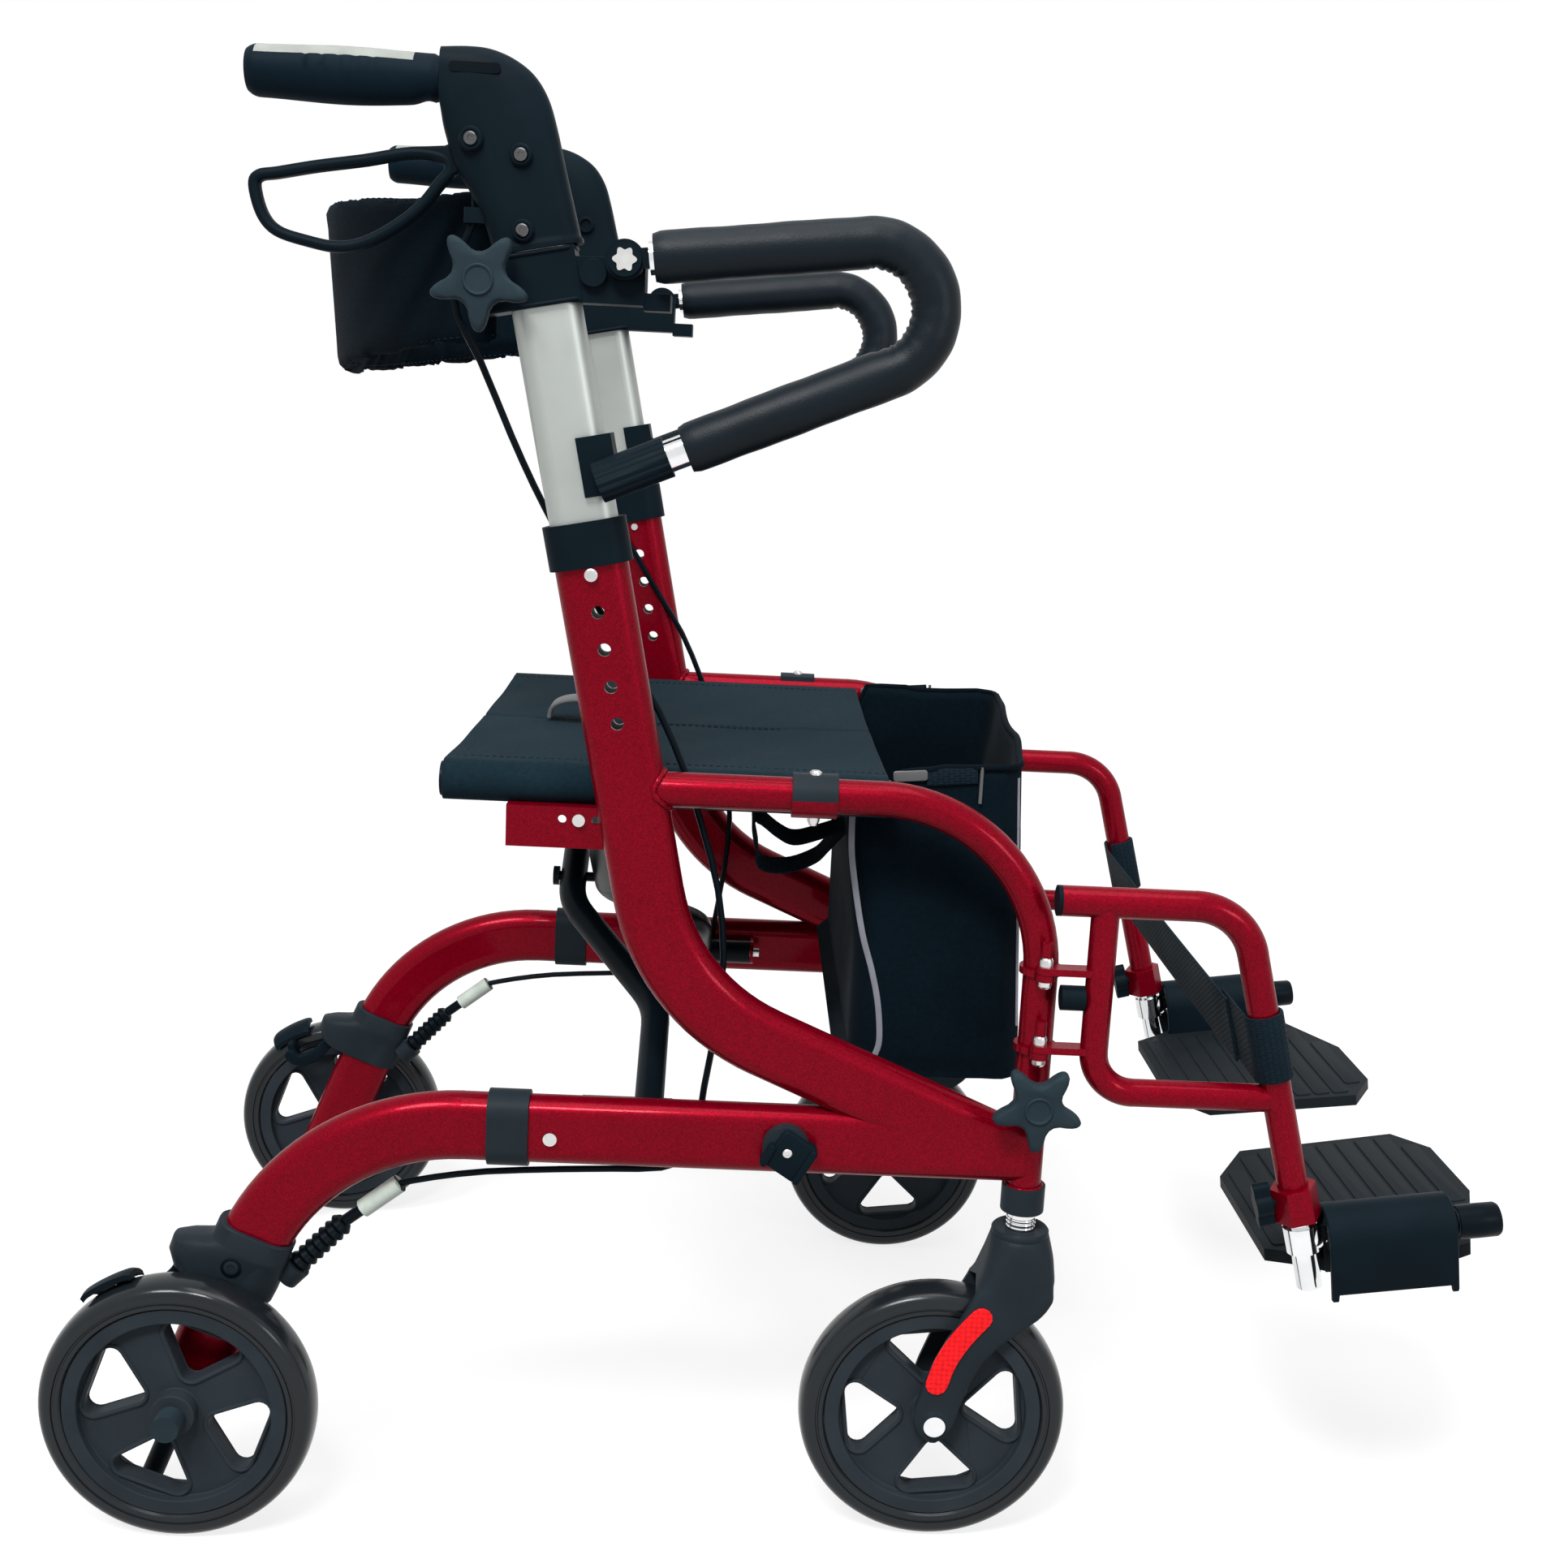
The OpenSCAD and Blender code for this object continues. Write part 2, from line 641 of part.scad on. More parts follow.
// Fasteners held by the side frame

module bolt(x, z, d, y0, y1, head) {
    cross(x, z, d, y0, y1);
    cross(x, z, head, y0, y0 - 3);
}

module frame_fasteners(s) {
    i = s == "_r" ? 0 : 1;
    bolt_p = post_at(bolt_z);
    eye_face = 2 * arm_y - frame_y + clamp_out + clear;
    color("gainsboro") at_side(s) {
        bolt(bolt_p[0], bolt_p[1], 6, outer_y, inner_y + 2, 9);
        translate([sleeve_x[i] - sleeve_len / 2 - 9, -seat_half, pivot_z]) rotate([0, 90, 0])
            cylinder(d = pivot_d, h = sleeve_len + 18);
        cross(rear_axle_x, axle_z, axle_d, inner_y + 8, frame_y - rear_offset - rear_hub_out - 4);
        cross(rear_axle_x, axle_z, 20, frame_y - rear_offset - rear_hub_out - 1,
              frame_y - rear_offset - rear_hub_out - 16);
        for (z = lug_z) translate([caster_x, pin_y, z]) cylinder(d = pin_d, h = 28);
        bolt(rest_x, rest_z, 6, rest_y, rest_y + 7, 9);
        bolt(lever_x, lever_z, lever_pin_d, side_face, side_face + housing_t, 12);
        for (p = cap_at) cross(grip_x + p[0], grip_z + p[1], 9, side_face - 4, side_face - 2);
        difference() {
            union() {
                cross(eye_x, eye_z, bush_d, eye_face - 2, frame_y + clamp_in);
                cross(eye_x, eye_z, bush_d + 8, eye_face - clear - 2, eye_face - clear);
            }
            cross(eye_x, eye_z, bush_d - 4, frame_y - 80, frame_y + 80);
        }
        cross(leg_corner_x + 178, lower_z - 2, 10, outer_y - 3, outer_y);
        cross(brake_x, brake_z, 6, frame_y - 14, frame_y + 12);
    }
}

// Brake cable with adjuster and ribbed boot

function smooth(p, n) = [for (i = [0:len(p) - 2], k = [0:n - 1])
    let (a = p[max(i - 1, 0)], b = p[i], c = p[i + 1], d = p[min(i + 2, len(p) - 1)], t = k / n)
    0.5 * (2 * b + (c - a) * t + (2 * a - 5 * b + 4 * c - d) * t * t + (3 * b - a - 3 * c + d) * t * t * t),
    p[len(p) - 1]];

module swept(points, r, sides) {
    n = len(points);
    rings = [for (i = [0:n - 1])
        let (t = points[min(i + 1, n - 1)] - points[max(i - 1, 0)], u = cross(t, [0.15, 1, 0.1]),
             e = u / norm(u), f = cross(t, e) / norm(t))
        for (k = [0:sides - 1]) points[i] + r * (cos(k * 360 / sides) * e + sin(k * 360 / sides) * f)];
    walls = [for (i = [0:n - 2], k = [0:sides - 1])
        let (a = i * sides + k, b = i * sides + (k + 1) % sides)
        each [[a, b + sides, b], [a, a + sides, b + sides]]];
    last = (n - 1) * sides;
    ends = [for (k = [1:sides - 2]) each [[0, k, k + 1], [last, last + k + 1, last + k]]];
    polyhedron(rings, concat(walls, ends));
}

module brake_cable(s) {
    route = smooth(cable_route, 2);
    color("black") at_side(s) {
        swept([for (p = route) [p[0], frame_y + p[1], p[2]]], cable_d / 2, 8);
        translate([0, frame_y + 6, 0]) {
            run(adjuster_at, 180 + adjuster_slope, adjuster_len) circle(d = 14);
            run(adjuster_at, 180 + adjuster_slope, adjuster_len + neck_len) circle(d = 9);
        }
        translate([boot_at[0], frame_y + 6, boot_at[1]]) rotate([0, -90 - boot_slope, 0]) rotate_extrude()
            polygon(concat([[3, 0]],
                [for (k = [0:2 * boot_ribs]) [k % 2 == 0 ? 6.5 : 9, k / (2 * boot_ribs) * boot_len]],
                [[3, boot_len]]));
    }
}

// Plastic fittings on the side frame

module frame_fittings(s) {
    ring = 3.5;
    color("darkslategray") at_side(s) {
        difference() {
            post_run(main_top_z - 22, main_top_z + 8) oval(oval_w + 2 * ring, oval_t + 2 * ring);
            post_run(main_top_z - 23, main_top_z + 0.1) oval(oval_w + 2 * fit, oval_t + 2 * fit);
            post_run(main_top_z - 1, main_top_z + 9) oval(post_w + 2 * fit, post_t + 2 * fit);
        }
        translate([leg_corner_x + 132, frame_y, lower_z]) rotate([0, 90, 0]) linear_extrude(30)
            difference() {
                oval(oval_w + 6, oval_t + 6);
                oval(oval_w + 2 * fit, oval_t + 2 * fit);
            }
        translate([0, outer_y, lower_z]) difference() {
            cross(6, 0, 34, 0, -9);
            cross(6, -12, 22, 1, -10);
        }
        translate([-2, frame_y, rail_z]) rotate([0, 90, 0]) difference() {
            cylinder(r = rail_r + 3.5, h = 32);
            translate([0, 0, -1]) cylinder(r = rail_r + fit, h = 34);
            translate([-30, rail_r - 4, -1]) cube([60, 30, 34]);
        }
        difference() {
            union() {
                translate([caster_x, frame_y, upright_end_z - 20]) cylinder(d = 32, h = 20);
                translate([caster_x, frame_y, upright_end_z - 1])
                    cylinder(d = rail_d - 2 * wall - 2 * fit, h = 32);
            }
            translate([caster_x, frame_y, upright_end_z - 21]) cylinder(d = stem_d + 2 * fit, h = 60);
        }
        translate([rear_axle_x, frame_y, axle_z]) rotate([0, 90 - leg_slope, 0]) {
            translate([0, 0, -leg_past - 6]) linear_extrude(6) oval(oval_w, oval_t);
            translate([0, 0, -leg_past - 64]) cylinder(d = 16, h = 62);
        }
        brake_collar();
    }
}

module on_rear_leg(along) {
    p = [rear_axle_x, axle_z] + along * [cos(leg_slope), sin(leg_slope)];
    translate([p[0], frame_y, p[1]]) rotate([0, 90 - leg_slope, 0]) children();
}

module brake_collar() {
    socket = boot_end - 0.3 * [cos(boot_slope), sin(boot_slope)];
    difference() {
        union() {
            on_rear_leg(collar_low) linear_extrude(collar_h) oval(oval_w + 5, oval_t + 7);
            translate([0, frame_y + 6, 0]) run(socket, 180 + boot_slope, 14) circle(d = 22);
            translate([brake_x - 8, frame_y - 9, brake_z - 9]) cube([26, 18, 18]);
        }
        on_rear_leg(collar_low - 60) linear_extrude(collar_h + 120)
            oval(oval_w + 2 * clear, oval_t + 2 * clear);
        translate([brake_x - 12, frame_y - 4 - clear, brake_z - 12]) cube([20, 8 + 2 * clear, 24]);
        cross(brake_x, brake_z, 6 + 2 * fit, frame_y - 30, frame_y + 30);
    }
}

module brake_arm(s) {
    r = wheel_d / 2 + shoe_gap;
    hub = [rear_axle_x, axle_z];
    shoe = hub + (r + shoe_t / 2) * [cos(shoe_a), sin(shoe_a)];
    color("black") at_side(s) difference() {
        union() {
            plate(frame_y - 4, 8) link2d([[brake_x, brake_z], [brake_x - 30, brake_z + 2], shoe], 6);
            translate([hub[0], frame_y - rear_offset - tyre_w / 2, hub[1]]) rotate([90, 0, 0])
                rotate([0, 0, shoe_a - shoe_span / 2]) translate([0, 0, -tyre_w - 22])
                rotate_extrude(angle = shoe_span) translate([r, 0]) square([shoe_t, tyre_w + 22]);
        }
        cross(brake_x, brake_z, 6 + 2 * fit, frame_y - 30, frame_y + 30);
    }
}

// Wheels

module tyre(x, y) {
    r = wheel_d / 2;
    color("darkslategray") translate([x, y, axle_z]) rotate([90, 0, 0]) rotate_extrude($fn = 96)
        intersection() {
            translate([r - 24, 0]) circle(24);
            translate([tyre_in_r, -tyre_w / 2]) square([30, tyre_w]);
        }
}

module rim(x, y, turn, out, in) {
    color("slategray") translate([x, y, axle_z]) rotate([90, 0, 0]) difference() {
        union() {
            rotate_extrude($fn = 96) translate([tyre_in_r - 11, -tyre_w / 2 + 2])
                square([11 - fit, tyre_w - 4]);
            translate([0, 0, -7]) cylinder(r = tyre_in_r - 10, h = 14);
            translate([0, 0, -in]) cylinder(r = hub_r, h = in + out);
        }
        translate([0, 0, -60]) cylinder(d = axle_d + 2 * fit, h = 120);
        for (k = [0:3]) rotate(turn + 90 * k) translate([0, 0, -10]) linear_extrude(20) {
            a = [32, 0];
            b = (tyre_in_r - 21) * [cos(20), sin(20)];
            c = [b[0], -b[1]];
            polygon([a, b, c]);
            link2d([a, b, c, a], 8);
        }
    }
}

module rear_tyre(s) { at_side(s) tyre(rear_axle_x, frame_y - rear_offset); }

module rear_rim(s) {
    gap = rear_offset - oval_t / 2 - 1;
    at_side(s) rim(rear_axle_x, frame_y - rear_offset, 70, rear_hub_out - 2, gap);
}

module front_tyre(s) { at_side(s) tyre(front_axle_x, frame_y); }

module front_rim(s) { at_side(s) rim(front_axle_x, frame_y, 7, tyre_w / 2 + 1, tyre_w / 2 + 1); }

// Casters

module fork_outline() {
    z = axle_z;
    polygon([[caster_x - 30, fork_top], [caster_x + 24, fork_top], [caster_x + 27, fork_top - 30],
             [caster_x - 4, z + 64], [front_axle_x + 14, z - 8], [front_axle_x - 14, z + 4],
             [front_axle_x - 4, z + 66], [caster_x - 38, fork_top - 30]]);
    translate([front_axle_x, z]) circle(16);
}

module caster_fork(s) {
    gap = tyre_w / 2 + 2;
    color("dimgray") at_side(s) difference() {
        union() {
            for (e = [0, 1]) plate(frame_y - gap - fork_t + e * (2 * gap + fork_t), fork_t) fork_outline();
            translate([caster_x - 30, frame_y - gap - fork_t, crown_z])
                cube([54, 2 * (gap + fork_t), fork_top - crown_z]);
            plate(frame_y - gap - fork_t - 2, 2.5) link2d([[front_axle_x + 27, axle_z + 84],
                [front_axle_x + 12, axle_z + 64], [front_axle_x - 1, axle_z + 34]], 8);
        }
        cross(front_axle_x, axle_z, axle_d + 2 * fit, frame_y - 60, frame_y + 60);
        translate([caster_x, frame_y, wheel_d]) cylinder(d = stem_d - 2 + 2 * fit, h = 60);
    }
}

module caster_stem(s) {
    reach = tyre_w / 2 + 2 + fork_t;
    color("silver") at_side(s) {
        translate([caster_x, frame_y, crown_z + 2]) cylinder(d = stem_d - 2, h = fork_top - crown_z + 4);
        translate([caster_x, frame_y, fork_top]) cylinder(d = stem_d, h = upright_end_z + 40 - fork_top);
        translate([caster_x, frame_y, fork_top])
            cylinder(d = stem_d + 4, h = upright_end_z - 20 - clear - fork_top);
        cross(front_axle_x, axle_z, axle_d, frame_y - reach - 1, frame_y + reach + 1);
        for (e = [-1, 1]) cross(front_axle_x, axle_z, 16, frame_y + e * reach, frame_y + e * (reach + 5));
    }
}

// Footrest

module hanger_path(d, past) {
    turn = 90 - foot_lean;
    t = hanger_bend * tan(turn / 2);
    p = [leg_top_x, hanger_z] + t * [sin(foot_lean), -cos(foot_lean)];
    run([caster_x + 7, hanger_z], 0, hanger_reach - 7 - t, past, lap) circle(d = d);
    bend([leg_top_x - t, hanger_z - hanger_bend], hanger_bend, foot_lean, turn) circle(d = d + swell);
    run(p, foot_lean - 90, (p[1] - leg_end_z) / cos(foot_lean) + past, lap) circle(d = d);
}

module hanger_loop(d) {
    low_bend = 30;
    x = hanger_post_x + low_bend;
    run([hanger_post_x, hanger_z], -90, hanger_z - hanger_low_z - low_bend, 0, lap) circle(d = d);
    bend([x, hanger_low_z + low_bend], low_bend, 180, 90) circle(d = d + swell);
    run([x, hanger_low_z], 0, foot_at(hanger_low_z)[0] - x, lap) circle(d = d);
}

module footrest_hanger(s) {
    color("firebrick") at_side(s) difference() {
        union() {
            translate([0, pin_y, 0]) {
                hanger_path(hanger_d, 0);
                hanger_loop(hanger_d - 2);
            }
            for (z = lug_z) translate([caster_x, pin_y, z + lug_t + clear]) {
                cylinder(r = knuckle_r, h = lug_t);
                translate([0, -knuckle_r, 0]) cube([hanger_post_x - caster_x, 2 * knuckle_r, lug_t]);
            }
        }
        translate([0, pin_y, 0]) hanger_path(hanger_d - 2 * wall, 1);
        for (z = lug_z) translate([caster_x, pin_y, z]) cylinder(d = pin_d + 2 * fit, h = 30);
    }
}

// Local frame of the hanger leg: origin on its axis at height z, local Z up the leg
module on_leg(z) {
    p = foot_at(z);
    translate([p[0], pin_y, z]) rotate([0, -foot_lean, 0]) children();
}

module footrest_clamp(s) {
    color("black") at_side(s) {
        on_leg(leg_end_z) difference() {
            translate([0, 0, -8]) cylinder(d = 34, h = 26, $fn = 6);
            cylinder(d = hanger_d + 2 * fit, h = 20);
            translate([0, 0, -9]) cylinder(d = slide_d + 2 * fit, h = 30);
            translate([0, 0, 8]) rotate([0, -90, 0]) cylinder(d = screw_d + 2 * fit, h = 40);
        }
        translate([caster_x + 7, pin_y, hanger_z]) rotate([0, -90, 0]) cylinder(d = hanger_d, h = 3);
        translate([caster_x + 12, pin_y, hanger_low_z + 69]) rotate([0, 90, 0])
            cylinder(d = 18, h = hanger_post_x - caster_x - 12 - hanger_r + 1);
    }
}

module footrest_knob(s) {
    color("black") at_side(s) on_leg(leg_end_z) translate([-17 - clear, 0, 8]) rotate([0, -90, 0]) {
        linear_extrude(12) star2d(17, 9, 2);
        translate([0, 0, -3]) cylinder(d = screw_d, h = 4);
    }
}

// Frame of the hinge bar: U forward along the bar, V inboard, W up
module on_bar() {
    translate([bar_root[0], pin_y, bar_root[1]]) rotate([0, -plate_tilt, 0]) children();
}

module footrest_slide(s) {
    color("silver") at_side(s) {
        difference() {
            union() {
                on_leg(leg_end_z - 60) cylinder(d = slide_d, h = 200);
                on_leg(leg_end_z - 32) cylinder(d = slide_d + 6, h = 20);
                on_bar() rotate([0, 90, 0]) cylinder(d = bar_d, h = 118);
            }
            on_leg(leg_end_z - 61) cylinder(d = slide_d - 3, h = 24);
        }
    }
}

module footplate_outline() {
    polygon([[20, 6], [sleeve_u[1] + 12, 6], [sleeve_u[1] + 30, 14], [plate_front_u, 100],
             [plate_front_u, 186], [136, 221], [6, 214], [-22, 168], [-22, 34], [0, 22]]);
}

module footplate(s) {
    low = -plate_drop - plate_t;
    color("black") at_side(s) {
        difference() {
            on_bar() {
                translate([sleeve_u[0], 0, 0]) rotate([0, 90, 0])
                    cylinder(d = bar_d + 12, h = sleeve_u[1] - sleeve_u[0]);
                translate([sleeve_u[0], bar_d / 2 + 6 - skirt_t, low])
                    cube([sleeve_u[1] - sleeve_u[0], skirt_t, -low]);
                translate([0, 0, low]) linear_extrude(plate_t) footplate_outline();
            }
            on_bar() rotate([0, 90, 0]) cylinder(d = bar_d + 2 * fit, h = 140);
        }
    }
}

module calf_strap(s) {
    wide = 50;
    r = hanger_r + clear;
    layer = cloth_t + clear;
    long = s == "_l";
    reach = long ? 2 * (frame_half + hinge_offset) - 42 : 64;
    color("darkslategray") at_side(s) on_leg(hanger_z - 100) translate([0, 0, -wide / 2]) {
        difference() {
            union() {
                cylinder(r = r + cloth_t, h = wide);
                translate([-r - cloth_t - (long ? layer : 0), 0, 0]) cube([cloth_t, reach, wide]);
                translate([-r - cloth_t - (long ? layer : 0), 0, 0]) cube([r, 8, wide]);
            }
            translate([0, 0, -1]) cylinder(r = r, h = wide + 2);
        }
    }
}

// Cross brace: the tube in its own sloping plane, then seat tube and sleeve

module brace_frame(e) {
    translate([0, -e * seat_half, pivot_z]) rotate([e * brace_slope, 0, 0])
        mirror([0, e < 0 ? 1 : 0, 0]) children();
}

module brace_tube(x_low, x_top) {
    turn = 35;
    r = 60;
    t = r * tan(turn / 2);
    s0 = 105;
    rise = (x_low - x_top) / tan(turn);
    s1 = s0 + rise;
    dir = [-sin(turn), cos(turn)];
    start = [x_low, s0] + (t - lap) * dir;
    translate([x_low, 0, 0]) rotate([-90, 0, 0]) cylinder(d = brace_d, h = s0 - t + lap);
    translate([x_low - r, s0 - t, 0]) rotate_extrude(angle = turn)
        translate([r, 0]) circle(d = brace_d + swell);
    translate([start[0], start[1], 0]) rotate([-90, 0, turn])
        cylinder(d = brace_d, h = rise / cos(turn) - 2 * t + 2 * lap);
    translate([x_top + r, s1 + t, 0]) rotate([0, 0, 180]) rotate_extrude(angle = turn)
        translate([r, 0]) circle(d = brace_d + swell);
    translate([x_top, s1 + t - lap, 0]) rotate([-90, 0, 0])
        cylinder(d = brace_d, h = 2 * brace_arm - s1 - t + lap);
}

module brace(e, k) {
    x_top = brace_x + k * brace_gap;
    difference() {
        union() {
            brace_frame(e) brace_tube(low_x[k], x_top);
            translate([sleeve_x[k] - sleeve_len / 2, -e * seat_half, pivot_z]) rotate([0, 90, 0])
                cylinder(d = sleeve_d, h = sleeve_len);
            translate([seat_rear_x, e * seat_half, seat_z]) rotate([0, 90, 0])
                cylinder(d = seat_d, h = seat_len);
        }
        translate([seat_rear_x - 1, e * seat_half, seat_z]) rotate([0, 90, 0])
            cylinder(d = seat_d - 2 * wall, h = seat_len + 2);
        translate([sleeve_x[k] - sleeve_len, -e * seat_half, pivot_z]) rotate([0, 90, 0])
            cylinder(d = pivot_d + 2 * fit, h = 2 * sleeve_len);
        translate([x_top - 40, 0, cross_z]) rotate([0, 90, 0]) cylinder(d = pivot_d + 2 * fit, h = 80);
    }
}

module cross_brace_a() {
    color("black") translate([-mid_x, 0, 0]) {
        brace(1, 0);
        translate([brace_x - brace_d / 2 - 6, 0, cross_z]) rotate([0, 90, 0]) {
            cylinder(d = pivot_d, h = brace_gap + brace_d + 12);
            cylinder(d = 16, h = 5);
            translate([0, 0, brace_gap + brace_d + 7]) cylinder(d = 16, h = 5);
        }
    }
}

module cross_brace_b() {
    color("black") translate([-mid_x, 0, 0]) brace(-1, 1);
}

// Soft parts

module seat_sling() {
    r0 = seat_d / 2 + clear;
    r1 = r0 + cloth_t;
    sag = 6;
    steps = 16;
    function deck(y) = seat_z + r0 - sag * (1 - pow(y / seat_half, 2));
    half = [for (k = [-steps:steps]) k / steps * seat_half];
    color("darkslategray") translate([seat_rear_x + 2 - mid_x, 0, 0]) {
        rotate([90, 0, 90]) linear_extrude(seat_len - 4) {
            polygon(concat([for (y = half) [y, deck(y)]], [for (y = half) [-y, deck(-y) + cloth_t]]));
            for (e = [-1, 1]) translate([e * seat_half, seat_z]) intersection() {
                difference() {
                    circle(r1);
                    circle(r0);
                }
                translate([e > 0 ? 0 : -8, 0]) square([8, r1 + 1]);
            }
        }
        translate([60, -16, seat_z + 7]) cube([32, 32, 18]);
    }
}

module storage_bag() {
    top = rail_z - 22;
    rear = caster_x - 3 - bag_l;
    hook_z = seat_z - seat_d / 2 - 0.3;
    hook_x = min(rear + 4, seat_rear_x + seat_len - 20);
    color("black") translate([-mid_x, 0, 0]) {
        difference() {
            translate([rear, -bag_w / 2, top - bag_h]) cube([bag_l, bag_w, bag_h]);
            translate([rear + bag_wall, bag_wall - bag_w / 2, top - bag_h + bag_wall])
                cube([bag_l - 2 * bag_wall, bag_w - 2 * bag_wall, bag_h]);
        }
        for (e = [-1, 1]) translate([hook_x, e > 0 ? bag_w / 2 - bag_wall : -seat_half - 4, top - 12])
            cube([rear + 20 - hook_x, seat_half + 4 - bag_w / 2 + bag_wall, hook_z - top + 12]);
    }
}

module backrest_band() {
    thick = 6;
    half = frame_half - clamp_in - clear;
    end_x = clamp_rear_x + 22;
    r = (pow(half, 2) + pow(band_depth, 2)) / (2 * band_depth);
    spread = asin(half / r);
    color("midnightblue") translate([end_x + r - band_depth - mid_x, 0, band_z - band_h / 2])
        rotate([0, 0, 180 - spread]) rotate_extrude(angle = 2 * spread, $fn = 96)
        translate([r - thick, 0]) square([thick, band_h]);
}

module draw(name, s) {
    if (name == "side_frame") side_frame(s);
    if (name == "push_tube") push_tube(s);
    if (name == "handle_housing") handle_housing(s);
    if (name == "hand_grip") hand_grip(s);
    if (name == "arm_clamp") arm_clamp(s);
    if (name == "frame_fasteners") frame_fasteners(s);
    if (name == "brake_cable") brake_cable(s);
    if (name == "frame_fittings") frame_fittings(s);
    if (name == "brake_lever") brake_lever(s);
    if (name == "brake_arm") brake_arm(s);
    if (name == "rear_tyre") rear_tyre(s);
    if (name == "rear_rim") rear_rim(s);
    if (name == "caster_fork") caster_fork(s);
    if (name == "caster_stem") caster_stem(s);
    if (name == "front_tyre") front_tyre(s);
    if (name == "front_rim") front_rim(s);
    if (name == "armrest_tube") armrest_tube(s);
    if (name == "armrest_foam") armrest_foam(s);
    if (name == "armrest_saddle") armrest_saddle(s);
    if (name == "upper_knob") upper_knob(s);
    if (name == "front_knob") front_knob(s);
    if (name == "footrest_hanger") footrest_hanger(s);
    if (name == "footrest_clamp") footrest_clamp(s);
    if (name == "footrest_slide") footrest_slide(s);
    if (name == "footplate") footplate(s);
    if (name == "footrest_knob") footrest_knob(s);
    if (name == "calf_strap") calf_strap(s);
}

for (p = SIDE_PARTS, s = ["_r", "_l"]) draw(p, s);
cross_brace_a();
cross_brace_b();
seat_sling();
storage_bag();
backrest_band();
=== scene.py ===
"""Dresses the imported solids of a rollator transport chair: finishes, cloth, foam, tyres and small parts."""

import math

import bmesh
import bpy
from mathutils import Matrix, Vector


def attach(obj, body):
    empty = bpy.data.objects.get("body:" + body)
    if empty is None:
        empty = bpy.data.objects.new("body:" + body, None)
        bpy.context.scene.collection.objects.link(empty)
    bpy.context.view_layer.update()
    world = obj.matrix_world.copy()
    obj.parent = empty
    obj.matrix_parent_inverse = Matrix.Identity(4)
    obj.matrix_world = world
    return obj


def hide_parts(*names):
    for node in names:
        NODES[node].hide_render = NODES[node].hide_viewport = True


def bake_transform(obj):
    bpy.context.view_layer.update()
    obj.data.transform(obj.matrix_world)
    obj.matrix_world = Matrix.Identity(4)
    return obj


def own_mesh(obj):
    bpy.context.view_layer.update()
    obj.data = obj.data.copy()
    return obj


bl_info = {
    "name": "Rollator transport chair",
    "version": (1, 0, 0),
    "blender": (4, 5, 0),
    "location": "3D View > Sidebar > Chair",
    "description": "Finishes, cloth and small parts of a rollator that doubles as a transport chair",
    "category": "Add Mesh",
}

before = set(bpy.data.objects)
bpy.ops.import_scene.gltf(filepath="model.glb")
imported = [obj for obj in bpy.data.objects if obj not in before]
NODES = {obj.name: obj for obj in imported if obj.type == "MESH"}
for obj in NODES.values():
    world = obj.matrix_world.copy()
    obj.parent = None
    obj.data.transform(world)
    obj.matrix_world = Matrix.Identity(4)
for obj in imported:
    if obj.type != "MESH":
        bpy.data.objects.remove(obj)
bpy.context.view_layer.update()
SIDES = (("_r", -1), ("_l", 1))
SIDE_BODY = {"_r": "right_frame", "_l": "left_frame"}
MM = 0.001
MID_X = 11.4209
HALF = 246.0
AXLE_Z = 100.0
FRONT_AXLE_X, REAR_AXLE_X, CASTER_X = 126.0, -427.0, 183.0
REAR_Y, FRONT_Y = -281.0, -246.0
GRIP_X, GRIP_Z = -252.605, 1031.0
EYE_X, EYE_Z, ARM_Y = -129.0, 921.6, -268.0
SEAT_HALF, SEAT_Z, SEAT_REAR, SEAT_LEN = 212.0, 560.0, -253.0, 323.0
PIN_Y = -266.0
POST_LEAN, FOOT_LEAN, PLATE_TILT = math.radians(11.5), math.radians(15), math.radians(8)
BAR_ROOT = (388.648, 258.0)
POST_X, RAIL_Z = -115.7, 566.0


def color_value(name, text, default):
    return bpy.props.FloatVectorProperty(name=name, description=text, subtype="COLOR", min=0, max=1,
                                         default=default)


class ChairFinish(bpy.types.PropertyGroup):
    """Colours that a user may change"""

    paint: color_value("Frame paint", "Candy red of the side frames and hangers", (0.185, 0.0004, 0.0085))
    # The backrest and bag use a darker copy of this cloth with painted shade, not this colour.
    nylon: color_value("Nylon", "Cloth of the seat, backrest and bag", (0.0062, 0.0165, 0.0240))
    plastic: color_value("Black plastic", "Handles, clamps, levers and footplates", (0.0040, 0.0090, 0.0135))
    slate: color_value("Slate plastic", "Rims, forks, collars and bands", (0.0165, 0.0235, 0.0300))
    tyre: color_value("Tyre", "Solid rubber of the four tyres", (0.0095, 0.0125, 0.0155))
    piping: color_value("Piping", "Grey edging of the bag", (0.22, 0.23, 0.27))


class ChairSizes(bpy.types.PropertyGroup):
    """Sizes that a user may change"""

    sag: bpy.props.FloatProperty(
        name="Seat sag", description="Dip of the seat cloth between its tubes", subtype="DISTANCE",
        min=0, max=0.02, default=0.006)
    foam: bpy.props.FloatProperty(
        name="Foam radius", description="Outer radius of the armrest foam", subtype="DISTANCE",
        min=0.015, max=0.018, default=0.017)
    threads: bpy.props.FloatProperty(
        name="Threads", description="Threads of the cloth in a metre", min=200, max=3000, default=1000)
    stitch: bpy.props.FloatProperty(
        name="Stitch", description="Length of one stitch with its gap", subtype="DISTANCE",
        min=0.002, max=0.01, default=0.005)


def finish_of():
    return bpy.context.scene.chair_finish


def sizes_of():
    return bpy.context.scene.chair_sizes


def at(x, y, z):
    """A point of the part's own drawing, in millimetres, as a place in the scene."""
    return Vector(((x - MID_X) * MM, y * MM, z * MM))


def post_x(z):
    """Middle of the push post at a height."""
    return POST_X - math.tan(POST_LEAN) * (z - RAIL_Z)


# Finishes

